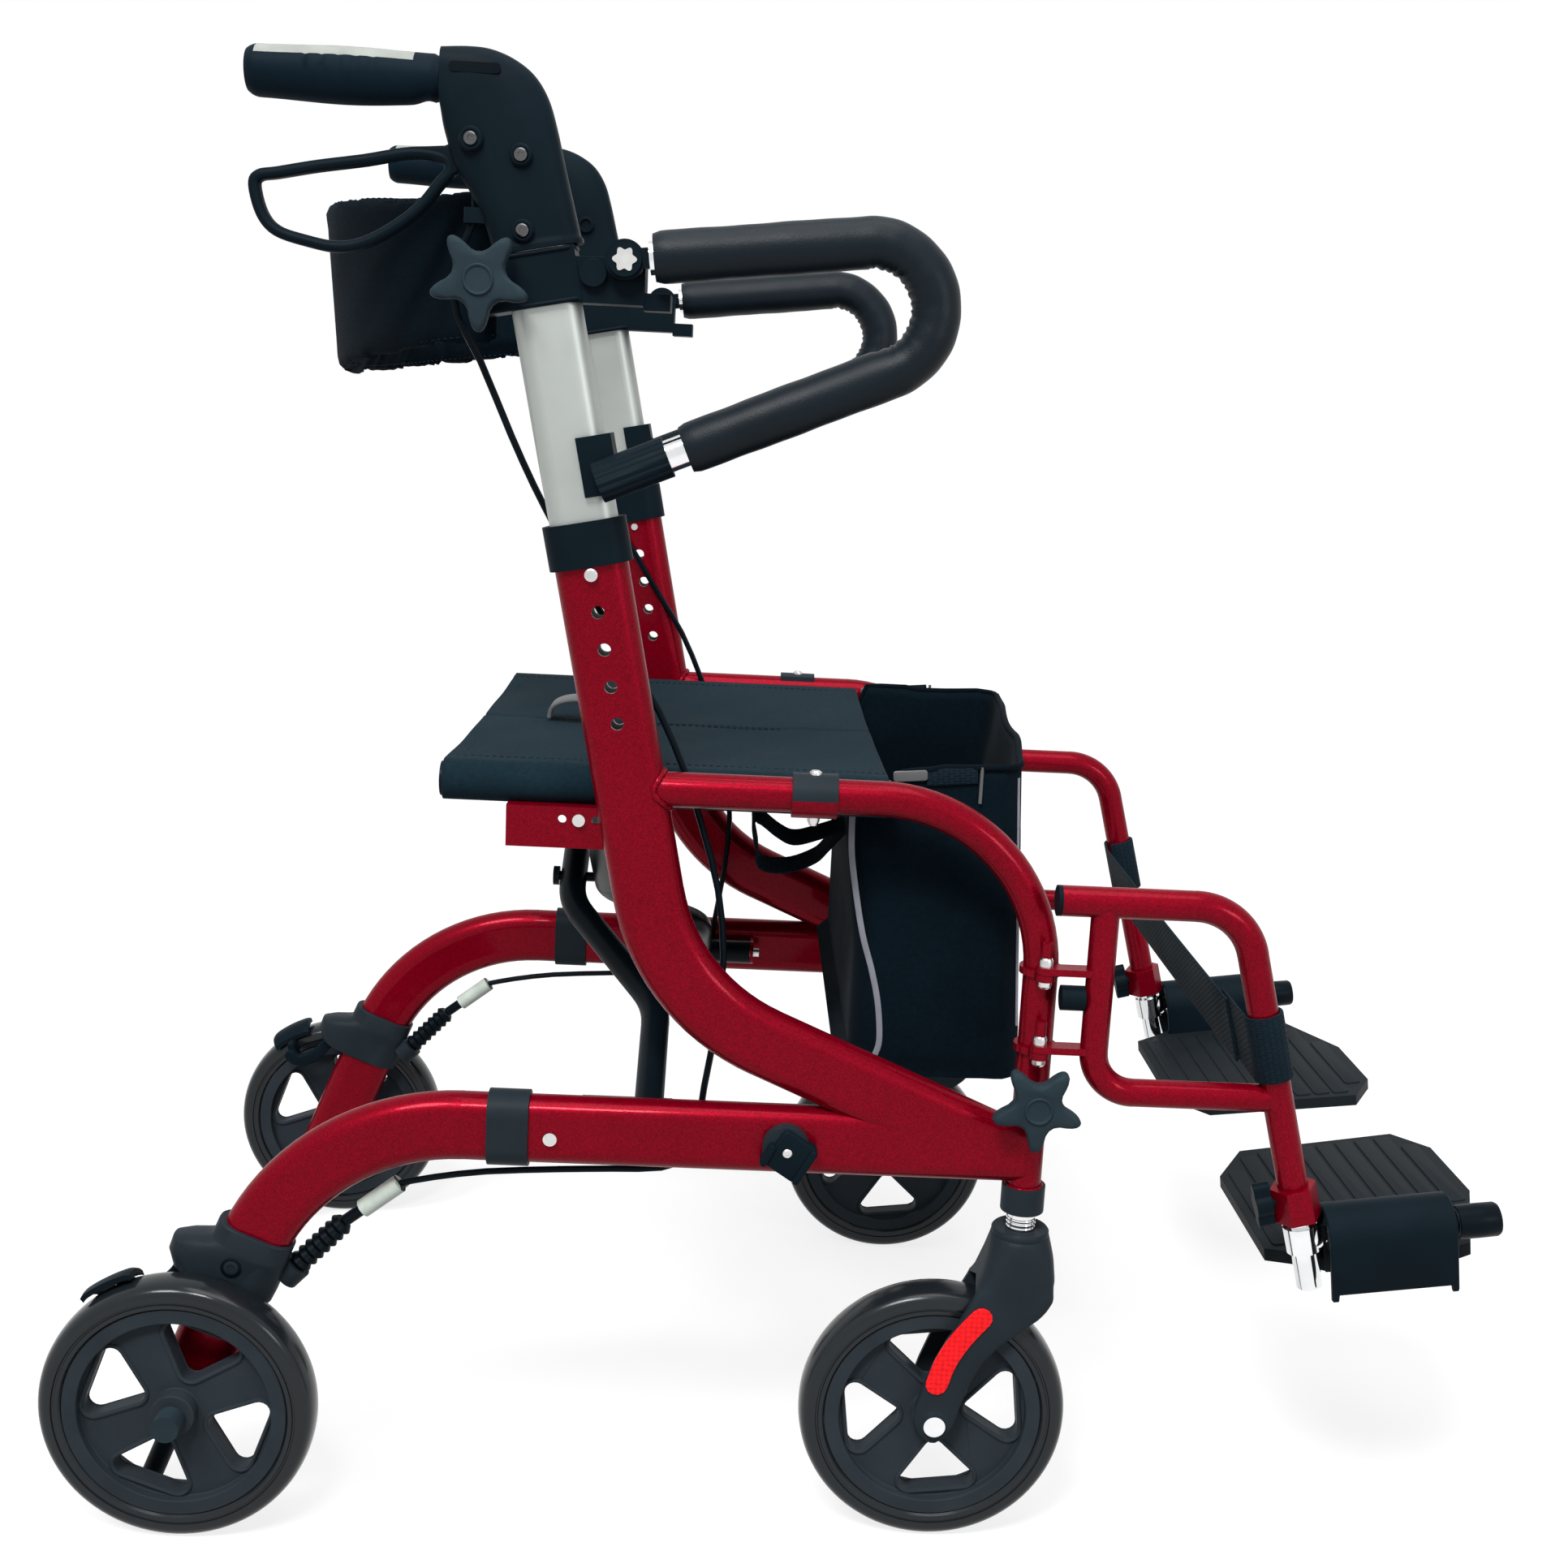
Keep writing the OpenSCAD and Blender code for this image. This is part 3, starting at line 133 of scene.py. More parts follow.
def label_of(key):
    return key.replace("_", " ").capitalize()


def feed(tree, socket, value):
    """Links an output to a socket, or writes a plain number there."""
    if isinstance(value, (int, float)):
        socket.default_value = value
    else:
        tree.links.new(value, socket)


def pattern_group(name, **inputs):
    """A node group that turns its inputs into a colour, a roughness and a height."""
    group = bpy.data.node_groups.new(name, "ShaderNodeTree")
    for key, value in inputs.items():
        kind = "NodeSocketFloat" if isinstance(value, float) else "NodeSocketColor"
        made = group.interface.new_socket(label_of(key), in_out="INPUT", socket_type=kind)
        made.default_value = value
    for label, kind in (("Color", "Color"), ("Roughness", "Float"), ("Height", "Float")):
        group.interface.new_socket(label, in_out="OUTPUT", socket_type="NodeSocket" + kind)
    given = group.nodes.new("NodeGroupInput").outputs
    out = group.nodes.new("NodeGroupOutput").inputs
    return group, given, out, group.nodes.new("ShaderNodeTexCoord").outputs["Object"]


def math_node(tree, kind, a, b=None):
    made = tree.nodes.new("ShaderNodeMath")
    made.operation = kind
    for socket, value in zip(made.inputs, (a, b)):
        if value is not None:
            feed(tree, socket, value)
    return made.outputs[0]


def shade_mix(tree, color, low, high, factor):
    """The colour times a grey that runs from low to high with the factor."""
    ramp = tree.nodes.new("ShaderNodeMapRange")
    ramp.inputs["To Min"].default_value = low
    ramp.inputs["To Max"].default_value = high
    tree.links.new(factor, ramp.inputs["Value"])
    mix = tree.nodes.new("ShaderNodeVectorMath")
    mix.operation = "SCALE"
    tree.links.new(color, mix.inputs[0])
    tree.links.new(ramp.outputs[0], mix.inputs["Scale"])
    return mix.outputs[0]


def noise_node(tree, vector, scale, detail):
    made = tree.nodes.new("ShaderNodeTexNoise")
    made.inputs["Detail"].default_value = detail
    tree.links.new(vector, made.inputs["Vector"])
    feed(tree, made.inputs["Scale"], scale)
    return made.outputs["Fac"]


def cell_node(tree, vector, scale, random=1.0):
    made = tree.nodes.new("ShaderNodeTexVoronoi")
    made.inputs["Scale"].default_value = scale
    made.inputs["Randomness"].default_value = random
    tree.links.new(vector, made.inputs["Vector"])
    return made.outputs


def seen_ray(tree):
    """1 for rays from the camera, a reflection or a see-through surface, else 0."""
    light = tree.nodes.new("ShaderNodeLightPath").outputs
    seen = math_node(tree, "MAXIMUM", light["Is Camera Ray"], light["Is Transmission Ray"])
    return math_node(tree, "MAXIMUM", seen, light["Is Glossy Ray"])


def grain_group():
    """Moulded or painted surface: slow change of colour and gloss, and fine grain."""
    tree, given, out, place = pattern_group("surface_grain", color=(0.5, 0.5, 0.5, 1), roughness=0.5,
                                            patch_scale=30.0, grain_scale=900.0, spread=0.15)
    patch = noise_node(tree, place, given["Patch scale"], 4.0)
    tree.links.new(shade_mix(tree, given["Color"], 0.72, 1.28, patch), out["Color"])
    swing = math_node(tree, "MULTIPLY", math_node(tree, "SUBTRACT", patch, 0.5), given["Spread"])
    tree.links.new(math_node(tree, "ADD", given["Roughness"], swing), out["Roughness"])
    tree.links.new(noise_node(tree, place, given["Grain scale"], 1.0), out["Height"])
    return tree


def weave_group():
    """Plain weave on the piece's own cloth map: warp and weft passing over each other, with painted shade in
    the gaps between threads.
    """
    tree, given, out, place = pattern_group("plain_weave", color=(0.02, 0.02, 0.02, 1), threads=1000.0,
                                            roughness=0.8, ribs=1.0)

    def do(kind, a, b=None):
        return math_node(tree, kind, a, b)

    cloth = tree.nodes.new("ShaderNodeUVMap")
    cloth.uv_map = "cloth"
    split = tree.nodes.new("ShaderNodeSeparateXYZ")
    tree.links.new(cloth.outputs["UV"], split.inputs[0])
    across = do("MULTIPLY", split.outputs["X"], given["Threads"])
    along = do("MULTIPLY", do("MULTIPLY", split.outputs["Y"], given["Threads"]), given["Ribs"])
    warp, weft = (do("ABSOLUTE", do("SINE", do("MULTIPLY", run, math.pi))) for run in (across, along))
    parity = do("ADD", do("FLOOR", across), do("FLOOR", along))
    over = do("MODULO", do("ABSOLUTE", parity), 2.0)
    under = do("SUBTRACT", 1.0, over)
    height = do("ADD", do("MULTIPLY", warp, over), do("MULTIPLY", weft, under))
    worn = noise_node(tree, place, 14.0, 5.0)
    lint = noise_node(tree, place, 260.0, 2.0)
    shade_and_wear = given["Color"]
    # The first factor is painted shade between the threads: thread tops lighter, the gaps darker. The other
    # two are random wear and lint tone.
    for low, high, factor in ((0.62, 1.3, height), (0.6, 1.5, worn), (0.75, 1.3, lint)):
        shade_and_wear = shade_mix(tree, shade_and_wear, low, high, factor)
    tree.links.new(shade_and_wear, out["Color"])
    swing = do("MULTIPLY", do("SUBTRACT", worn, 0.5), 0.3)
    tree.links.new(do("ADD", given["Roughness"], swing), out["Roughness"])
    tree.links.new(height, out["Height"])
    return tree


def flake_group():
    """Candy paint: small bright flakes under the clear coat, slow change of depth, and a faint ripple."""
    tree, given, out, place = pattern_group("candy_flake", color=(0.3, 0.01, 0.02, 1))
    split = tree.nodes.new("ShaderNodeSeparateColor")
    tree.links.new(cell_node(tree, place, 1400.0)["Color"], split.inputs[0])
    depth = noise_node(tree, place, 9.0, 3.0)
    flaked = shade_mix(tree, given["Color"], 0.7, 1.35, split.outputs[0])
    tree.links.new(shade_mix(tree, flaked, 0.85, 1.15, depth), out["Color"])
    gloss = math_node(tree, "ADD", math_node(tree, "MULTIPLY", split.outputs[1], 0.14), 0.27)
    tree.links.new(gloss, out["Roughness"])
    tree.links.new(noise_node(tree, place, 420.0, 1.0), out["Height"])
    return tree


def prism_group():
    """Cells of a moulded reflector, with painted reflection: bright in the middle and dark at their borders.
    """
    tree, given, out, place = pattern_group("prism_cells", color=(0.8, 0.02, 0.01, 1))
    near = math_node(tree, "MULTIPLY", cell_node(tree, place, 260.0, 0.25)["Distance"], 1.6)
    # Painted reflection: the colour is lighter at each cell's middle and darker at its border.
    tree.links.new(shade_mix(tree, given["Color"], 1.15, 0.55, near), out["Color"])
    gloss = math_node(tree, "ADD", math_node(tree, "MULTIPLY", near, 0.2), 0.18)
    tree.links.new(gloss, out["Roughness"])
    tree.links.new(near, out["Height"])
    return tree


PATTERNS = {"surface_grain": grain_group, "plain_weave": weave_group, "candy_flake": flake_group,
            "prism_cells": prism_group}
# A colour in quotes is one of the user's; the values go to the shader and to the pattern
LOOKS = {
    "red_paint": ("paint", dict(pattern="candy_flake", metal=0.4, spec=0.02, coat=0.09, bump=0.03,
        depth=0.0004)),
    "black_plastic": ("plastic", dict(rough=0.46, spec=0.035, bump=0.12, patch_scale=24.0,
        grain_scale=1500.0, spread=0.16)),
    "slate_plastic": ("slate", dict(rough=0.44, spec=0.05, bump=0.1, patch_scale=28.0, grain_scale=1300.0,
        spread=0.16)),
    "knob_plastic": ((0.022, 0.036, 0.045), dict(rough=0.55, spec=0.04, bump=0.2, patch_scale=40.0,
        grain_scale=1600.0, spread=0.12)),
    "tyre_rubber": ("tyre", dict(rough=0.2, spec=0.26, bump=0.05, patch_scale=18.0, grain_scale=700.0,
        spread=0.2)),
    "foam_skin": ((0.0042, 0.0085, 0.0125), dict(rough=0.42, spec=0.13, bump=0.35, depth=0.0004,
        patch_scale=16.0, grain_scale=1100.0, spread=0.2)),
    "grip_rubber": ((0.0030, 0.0095, 0.0160), dict(rough=0.6, spec=0.05, bump=0.25, patch_scale=40.0,
        grain_scale=1700.0, spread=0.15)),
    "grip_pad": ((0.27, 0.285, 0.265), dict(rough=0.6, spec=0.2, bump=0.2, patch_scale=50.0,
        grain_scale=1500.0, spread=0.15)),
    "anodised": ((0.38, 0.405, 0.39), dict(rough=0.45, metal=0.85, bump=0.05, patch_scale=10.0,
        grain_scale=2200.0, spread=0.12)),
    "chrome": ((0.78, 0.79, 0.80), dict(rough=0.1, metal=1.0, bump=0.02, patch_scale=30.0,
        grain_scale=600.0, spread=0.08)),
    "steel": ((0.62, 0.62, 0.61), dict(rough=0.28, metal=1.0, bump=0.05, patch_scale=60.0,
        grain_scale=1500.0, spread=0.2)),
    "dark_steel": ((0.10, 0.10, 0.105), dict(rough=0.26, metal=1.0, bump=0.05, patch_scale=60.0,
        grain_scale=1500.0, spread=0.2)),
    "black_steel": ((0.0045, 0.0085, 0.0125), dict(rough=0.34, spec=0.07, bump=0.06, patch_scale=20.0,
        grain_scale=1200.0, spread=0.15)),
    "cable_sleeve": ((0.0025, 0.0055, 0.0085), dict(rough=0.35, spec=0.05, bump=0.05, patch_scale=60.0,
        grain_scale=900.0, spread=0.1)),
    "adjuster_plastic": ((0.56, 0.63, 0.57), dict(rough=0.45, spec=0.3, bump=0.05, patch_scale=80.0,
        grain_scale=1400.0, spread=0.1)),
    # The reflector's emission is a painted glow: it shines without a lamp, standing in for light sent back by
    # its prisms.
    "reflector_red": ((0.88, 0.008, 0.012), dict(pattern="prism_cells", spec=0.08, coat=0.1, bump=0.8,
        depth=0.0008, glow=0.5)),
    "nylon": ("nylon", dict(pattern="plain_weave", rough=0.85, spec=0.04, bump=0.4, depth=0.0003,
        sheen=0.02)),
    # A darker copy of the nylon with painted shade, for the upright backrest and bag, which take less light
    # than the seat.
    "shade_painted_nylon": ((0.0024, 0.0064, 0.0105), dict(pattern="plain_weave", rough=0.85, spec=0.03, bump=0.4,
        depth=0.0003, sheen=0.015)),
    "rim_plastic": ((0.0260, 0.0340, 0.0415), dict(rough=0.46, spec=0.05, bump=0.1, patch_scale=28.0,
        grain_scale=1300.0, spread=0.16)),
    "webbing": ((0.0050, 0.0115, 0.0175), dict(pattern="plain_weave", rough=0.78, spec=0.05, bump=0.6,
        depth=0.0005, sheen=0.02, threads=500.0, ribs=0.5)),
    "grey_piping": ("piping", dict(rough=0.7, spec=0.3, bump=0.4, patch_scale=60.0, grain_scale=1800.0,
        spread=0.1)),
    "plate_plastic": ((0.0105, 0.0140, 0.0170), dict(rough=0.55, spec=0.05, bump=0.2, patch_scale=30.0,
        grain_scale=1400.0, spread=0.12)),
    "pull_grey": ((0.10, 0.105, 0.11), dict(rough=0.55, spec=0.35, bump=0.1, patch_scale=60.0,
        grain_scale=1400.0, spread=0.1)),
    "thread": ((0.0085, 0.0185, 0.026), dict(rough=0.7, spec=0.06, bump=0.2, patch_scale=60.0,
        grain_scale=2500.0, spread=0.1)),
    "dark_thread": ((0.0016, 0.0040, 0.0070), dict(rough=0.8, spec=0.04, bump=0.5, depth=0.0005,
        patch_scale=60.0, grain_scale=900.0, spread=0.1)),
}


def surface(name, color, pattern="surface_grain", rough=0.5, metal=0.0, spec=0.5, coat=0.0, bump=0.1,
            depth=0.0002, sheen=0.0, glow=0.0, **given):
    """A material with its pattern from a shared group and its plain numbers on the shader's own sockets."""
    made = bpy.data.materials.new(name)
    made.use_nodes = True
    tree = made.node_tree
    shader = tree.nodes["Principled BSDF"].inputs
    for label, value in (("Metallic", metal), ("Specular IOR Level", spec), ("Coat Weight", coat),
                         ("Coat Roughness", 0.08), ("Sheen Weight", sheen), ("Sheen Roughness", 0.45),
                         ("Emission Strength", glow)):
        shader[label].default_value = value
    group = tree.nodes.new("ShaderNodeGroup")
    group.node_tree = bpy.data.node_groups.get(pattern) or PATTERNS[pattern]()
    for key, value in {"color": (*color, 1), "roughness": rough, **given}.items():
        if label_of(key) in group.inputs:
            group.inputs[label_of(key)].default_value = value
    tree.links.new(group.outputs["Color"], shader["Base Color"])
    tree.links.new(group.outputs["Roughness"], shader["Roughness"])
    # A painted glow: the pattern's colour is also emitted, though the part is no lamp.
    if glow:
        tree.links.new(group.outputs["Color"], shader["Emission Color"])
    relief = tree.nodes.new("ShaderNodeBump")
    relief.inputs["Strength"].default_value = bump
    relief.inputs["Distance"].default_value = depth
    tree.links.new(group.outputs["Height"], relief.inputs["Height"])
    tree.links.new(relief.outputs["Normal"], shader["Normal"])
    return made


def look(name):
    """The material of that name, made when it is first asked for."""
    known = bpy.data.materials.get(name + "_look")
    if known:
        return known
    color, values = LOOKS[name]
    if isinstance(color, str):
        color = getattr(finish_of(), color)
    if values.get("pattern") == "plain_weave":
        values = {"threads": sizes_of().threads, **values}
    return surface(name + "_look", color, **values)


# Mesh helpers

def piece(name, bm, materials, body=None, replaces=(), angle=35):
    mesh = bpy.data.meshes.new(name)
    bm.to_mesh(mesh)
    bm.free()
    for face in mesh.polygons:
        face.use_smooth = True
    mesh.set_sharp_from_angle(angle=math.radians(angle))
    for material in materials:
        mesh.materials.append(look(material) if isinstance(material, str) else material)
    made = bpy.data.objects.new(name, mesh)
    bpy.context.scene.collection.objects.link(made)
    if body:
        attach(made, body)
    if replaces:
        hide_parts(*replaces)
    return made


def body_on(body, s):
    return SIDE_BODY[s] if body == "frame" else body + s


def mirror(bm):
    bmesh.ops.scale(bm, vec=(1, -1, 1), verts=bm.verts)
    bmesh.ops.reverse_faces(bm, faces=bm.faces)


def pair(name, build, materials, body, replaces=(), angle=35):
    """The right piece as drawn, and the left one mirrored."""
    made = []
    for s, e in SIDES:
        bm = bmesh.new()
        build(bm)
        if e > 0:
            mirror(bm)
        nodes = [n + s for n in replaces]
        made.append(piece(name + s, bm, materials, body_on(body, s), nodes, angle))
    return made


def frames_on(points, across=Vector((0, 1, 0)), closed=False):
    """Frames along a path: X across it, Z along it."""
    made = []
    n = len(points)
    for i, point in enumerate(points):
        if closed:
            along = points[(i + 1) % n] - points[i - 1]
        else:
            along = points[min(i + 1, n - 1)] - points[max(i - 1, 0)]
        along.normalize()
        side = (across - across.dot(along) * along).normalized()
        frame = Matrix((side, along.cross(side), along)).transposed().to_4x4()
        frame.translation = point
        made.append(frame)
    return made


def new_parts(found, kind):
    return [g for g in found["geom"] if isinstance(g, kind)]


def loft(bm, rows, closed=False, caps=True, start=0):
    """A skin through rows of points, each a closed ring; with closed, the last row joins the first.

    With start at 1 the rows stay open, for a sheet.
    """
    ring = [bm.verts.new(p) for p in rows[0]]
    first = [bm.edges.new((ring[i - 1], ring[i])) for i in range(start, len(ring))]
    edges = first
    rings = [ring]
    for row in rows[1:]:
        found = bmesh.ops.extrude_edge_only(bm, edges=edges)
        fresh = set(new_parts(found, bmesh.types.BMVert))
        edges = [g for g in new_parts(found, bmesh.types.BMEdge) if all(v in fresh for v in g.verts)]
        partner = {e.other_vert(v): v for v in fresh for e in v.link_edges if e.other_vert(v) not in fresh}
        ring = [partner[v] for v in ring]
        for vert, place in zip(ring, row):
            vert.co = place
        rings.append(ring)
    if closed:
        bmesh.ops.bridge_loops(bm, edges=first + edges)
    elif caps:
        bmesh.ops.edgeloop_fill(bm, edges=first)
        bmesh.ops.edgeloop_fill(bm, edges=edges)
    skin = dict.fromkeys(face for ring in rings for vert in ring for face in vert.link_faces)
    bmesh.ops.recalc_face_normals(bm, faces=list(skin))
    return rings


def sweep(bm, outline, frames, closed=False, caps=True):
    """Carries a closed outline along frames."""
    return loft(bm, [[m @ Vector((u, v, 0)) for u, v in outline] for m in frames], closed, caps)


def circle(r, n):
    return [(r * math.cos(2 * math.pi * k / n), r * math.sin(2 * math.pi * k / n)) for k in range(n)]


def bowed(value, power):
    """Pushes a sine or cosine outwards, so that a circle becomes a rounded box."""
    return math.copysign(abs(value) ** power, value)


def rounded(w, h, r, n=4):
    """A rounded rectangle, w by h."""
    made = []
    for cx, cy, start in ((w / 2 - r, h / 2 - r, 0), (r - w / 2, h / 2 - r, 90),
                          (r - w / 2, r - h / 2, 180),
                          (w / 2 - r, r - h / 2, 270)):
        for k in range(n + 1):
            turn = math.radians(start + 90 * k / n)
            made.append((cx + r * math.cos(turn), cy + r * math.sin(turn)))
    return made


def smooth_path(points, n):
    """A curve through the points, n steps between each two."""
    made = []
    last = len(points) - 1
    for i in range(last):
        a, b, c, d = points[max(i - 1, 0)], points[i], points[i + 1], points[min(i + 2, last)]
        for k in range(n):
            t = k / n
            made.append(0.5 * (2 * b + (c - a) * t + (2 * a - 5 * b + 4 * c - d) * t * t
                               + (3 * b - a - 3 * c + d) * t ** 3))
    made.append(points[last].copy())
    return made


def smooth_loop(points, n):
    """A closed curve through the points, n steps between each two."""
    made = smooth_path([points[-1], *points, points[0], points[1]], n)
    return made[n:n * (len(points) + 1)]


def lathe(bm, profile, centre, axis, steps, finish=0, rise=1.0):
    """Turns a closed profile of (radius, height along the axis), in millimetres, round the axis."""
    before = set(bm.faces)
    turn = Vector((0, 0, 1)).rotation_difference(Vector(axis)).to_matrix()
    ring = [bm.verts.new(centre + turn @ Vector((r * MM, 0, h * rise * MM))) for r, h in profile]
    edges = [bm.edges.new((ring[i - 1], ring[i])) for i in range(len(ring))]
    bmesh.ops.spin(bm, geom=ring + edges, cent=centre, axis=axis, dvec=(0, 0, 0), angle=2 * math.pi,
                   steps=steps, use_merge=True, use_normal_flip=False, use_duplicate=False)
    bmesh.ops.remove_doubles(bm, verts=bm.verts, dist=1e-6)
    bmesh.ops.recalc_face_normals(bm, faces=bm.faces)
    for face in set(bm.faces) - before:
        face.material_index = finish


def facing(y, x=0.0, z=0.0):
    """A frame for plates that grow towards -Y from the plane at y; its X and Y are the part's X and Z."""
    return Matrix.Translation(at(x, y, z)) @ Matrix.Rotation(math.pi / 2, 4, "X")


def band(points, r, n=6):
    """The outline of a line with round ends, r to each side."""
    lines = [[], []]
    last = len(points) - 1
    for i, p in enumerate(points):
        along = (points[min(i + 1, last)] - points[max(i - 1, 0)]).normalized()
        across = Vector((-along.y, along.x, 0))
        lines[0].append(p + across * r)
        lines[1].append(p - across * r)
    ends = []
    for tip, back in ((points[last], points[last - 1]), (points[0], points[1])):
        along = (tip - back).normalized()
        across = Vector((-along.y, along.x, 0))
        ends.append([tip + r * (across * math.cos(math.pi * k / n) + along * math.sin(math.pi * k / n))
                     for k in range(1, n)])
    loop = lines[0] + ends[0] + lines[1][::-1] + ends[1]
    return [(p.x, p.y) for p in loop]


def slab(bm, outline, thick, frame, bevel=0.0, finish=0):
    """A flat plate: the outline lies in the frame's XY plane and grows along its Z."""
    before = set(bm.faces)
    ring = [bm.verts.new(frame @ Vector((u, v, 0))) for u, v in outline]
    face = bm.faces.new(ring)
    pull(bm, face, frame.to_3x3() @ Vector((0, 0, thick)), keep=True)
    bmesh.ops.recalc_face_normals(bm, faces=bm.faces)
    if bevel:
        rim = [e for e in bm.edges if len(e.link_faces) == 2 and e.calc_face_angle(0) > 0.9
               and e.link_faces[0] not in before]
        bmesh.ops.bevel(bm, geom=rim, offset=bevel, segments=3, profile=0.5, affect="EDGES", material=-1)
    for face in set(bm.faces) - before:
        face.material_index = finish


def cloth_map(bm, where):
    """Writes the piece's cloth map from a table of vertex to place on the cloth, in metres."""
    layer = bm.loops.layers.uv.get("cloth") or bm.loops.layers.uv.new("cloth")
    for face in bm.faces:
        for loop in face.loops:
            if loop.vert in where:
                loop[layer].uv = where[loop.vert]


def strap(bm, points, across, width, thick):
    """Flat webbing along a path, with its cloth map."""
    frames = frames_on(points, across)
    outline = rounded(width, thick, thick * 0.45, 2)
    rings = sweep(bm, outline, frames)
    where = {}
    run = 0.0
    for i, ring in enumerate(rings):
        if i:
            run += (points[i] - points[i - 1]).length
        for vert, (u, _) in zip(ring, outline):
            where[vert] = (u, run)
    cloth_map(bm, where)


def stitches(bm, points, size, out):
    """Short threads along a path, laid on a surface that faces out; their ends dip into it."""
    outline = circle(size * 0.08, 6)
    row = bmesh.new()
    run = 0.0
    for a, b in zip(points, points[1:]):
        run += (b - a).length
        if run < size:
            continue
        run = 0.0
        along = (b - a).normalized()
        side = out.cross(along).normalized()
        frames = []
        for share, grow in ((-0.31, 0.45), (-0.2, 0.95), (0.0, 1.05), (0.2, 0.95), (0.31, 0.45)):
            frame = Matrix((side * grow, along.cross(side) * grow, along)).transposed().to_4x4()
            frame.translation = b + along * share * size + out * size * (0.08 * grow - 0.05)
            frames.append(frame)
        sweep(row, outline, frames)
    mesh = bpy.data.meshes.new("stitches")
    row.to_mesh(mesh)
    row.free()
    bm.from_mesh(mesh)
    bpy.data.meshes.remove(mesh)


def pull(bm, face, shift, keep=False):
    """Extrudes a face by shift; the face it started from goes, unless it closes the piece."""
    found = bmesh.ops.extrude_face_region(bm, geom=[face])
    bmesh.ops.translate(bm, vec=shift, verts=new_parts(found, bmesh.types.BMVert))
    if not keep:
        bmesh.ops.delete(bm, geom=[face], context="FACES_ONLY")
    return new_parts(found, bmesh.types.BMFace)[0]


def screw_head(bm, centre, out, r, high):
    """A low dome with a six-lobed socket."""
    turn = Vector((0, 0, 1)).rotation_difference(out).to_matrix().to_4x4()
    turn.translation = centre
    top = centre + out * high
    made = bmesh.ops.create_circle(bm, cap_ends=True, radius=r, segments=24, matrix=turn)
    face = pull(bm, made["verts"][0].link_faces[0], out * high * 0.6, keep=True)
    face = pull(bm, face, out * high * 0.4)
    bmesh.ops.scale(bm, vec=(0.8, 0.8, 0.8), verts=list(face.verts), space=Matrix.Translation(-top))
    bmesh.ops.inset_region(bm, faces=[face], thickness=r * 0.28, use_even_offset=True)
    for k, vert in enumerate(face.verts):
        lobe = 1.0 if k % 4 < 2 else 0.72
        vert.co = top + (vert.co - top) * lobe
    pull(bm, face, -out * high * 0.7)


def dress(node, material):
    mesh = NODES[node].data
    mesh.materials.clear()
    mesh.materials.append(look(material))
    mesh.polygons.foreach_set("material_index", [0] * len(mesh.polygons))


def dress_where(node, material, test):
    """Gives a second finish to the faces of a solid whose middle passes a test in the part's millimetres."""
    mesh = NODES[node].data
    mesh.materials.append(look(material))
    index = len(mesh.materials) - 1
    for face in mesh.polygons:
        c = face.center
        if test(c.x / MM + MID_X, abs(c.y) / MM, c.z / MM):
            face.material_index = index


def soften(node, width, segments=2):
    """Rounds the edges of a moulded solid without touching its mesh."""
    made = NODES[node]
    weld = made.modifiers.new("join", "WELD")
    weld.merge_threshold = 1e-5
    flat = made.modifiers.new("flat", "DECIMATE")
    flat.decimate_type = "DISSOLVE"
    flat.angle_limit = math.radians(0.5)
    edge = made.modifiers.new("edge", "BEVEL")
    edge.width = width
    edge.segments = segments
    edge.limit_method = "ANGLE"
    edge.angle_limit = math.radians(40)
    edge.use_clamp_overlap = True
    edge.harden_normals = False
    even = made.modifiers.new("even", "WEIGHTED_NORMAL")
    even.keep_sharp = False
    even.weight = 60


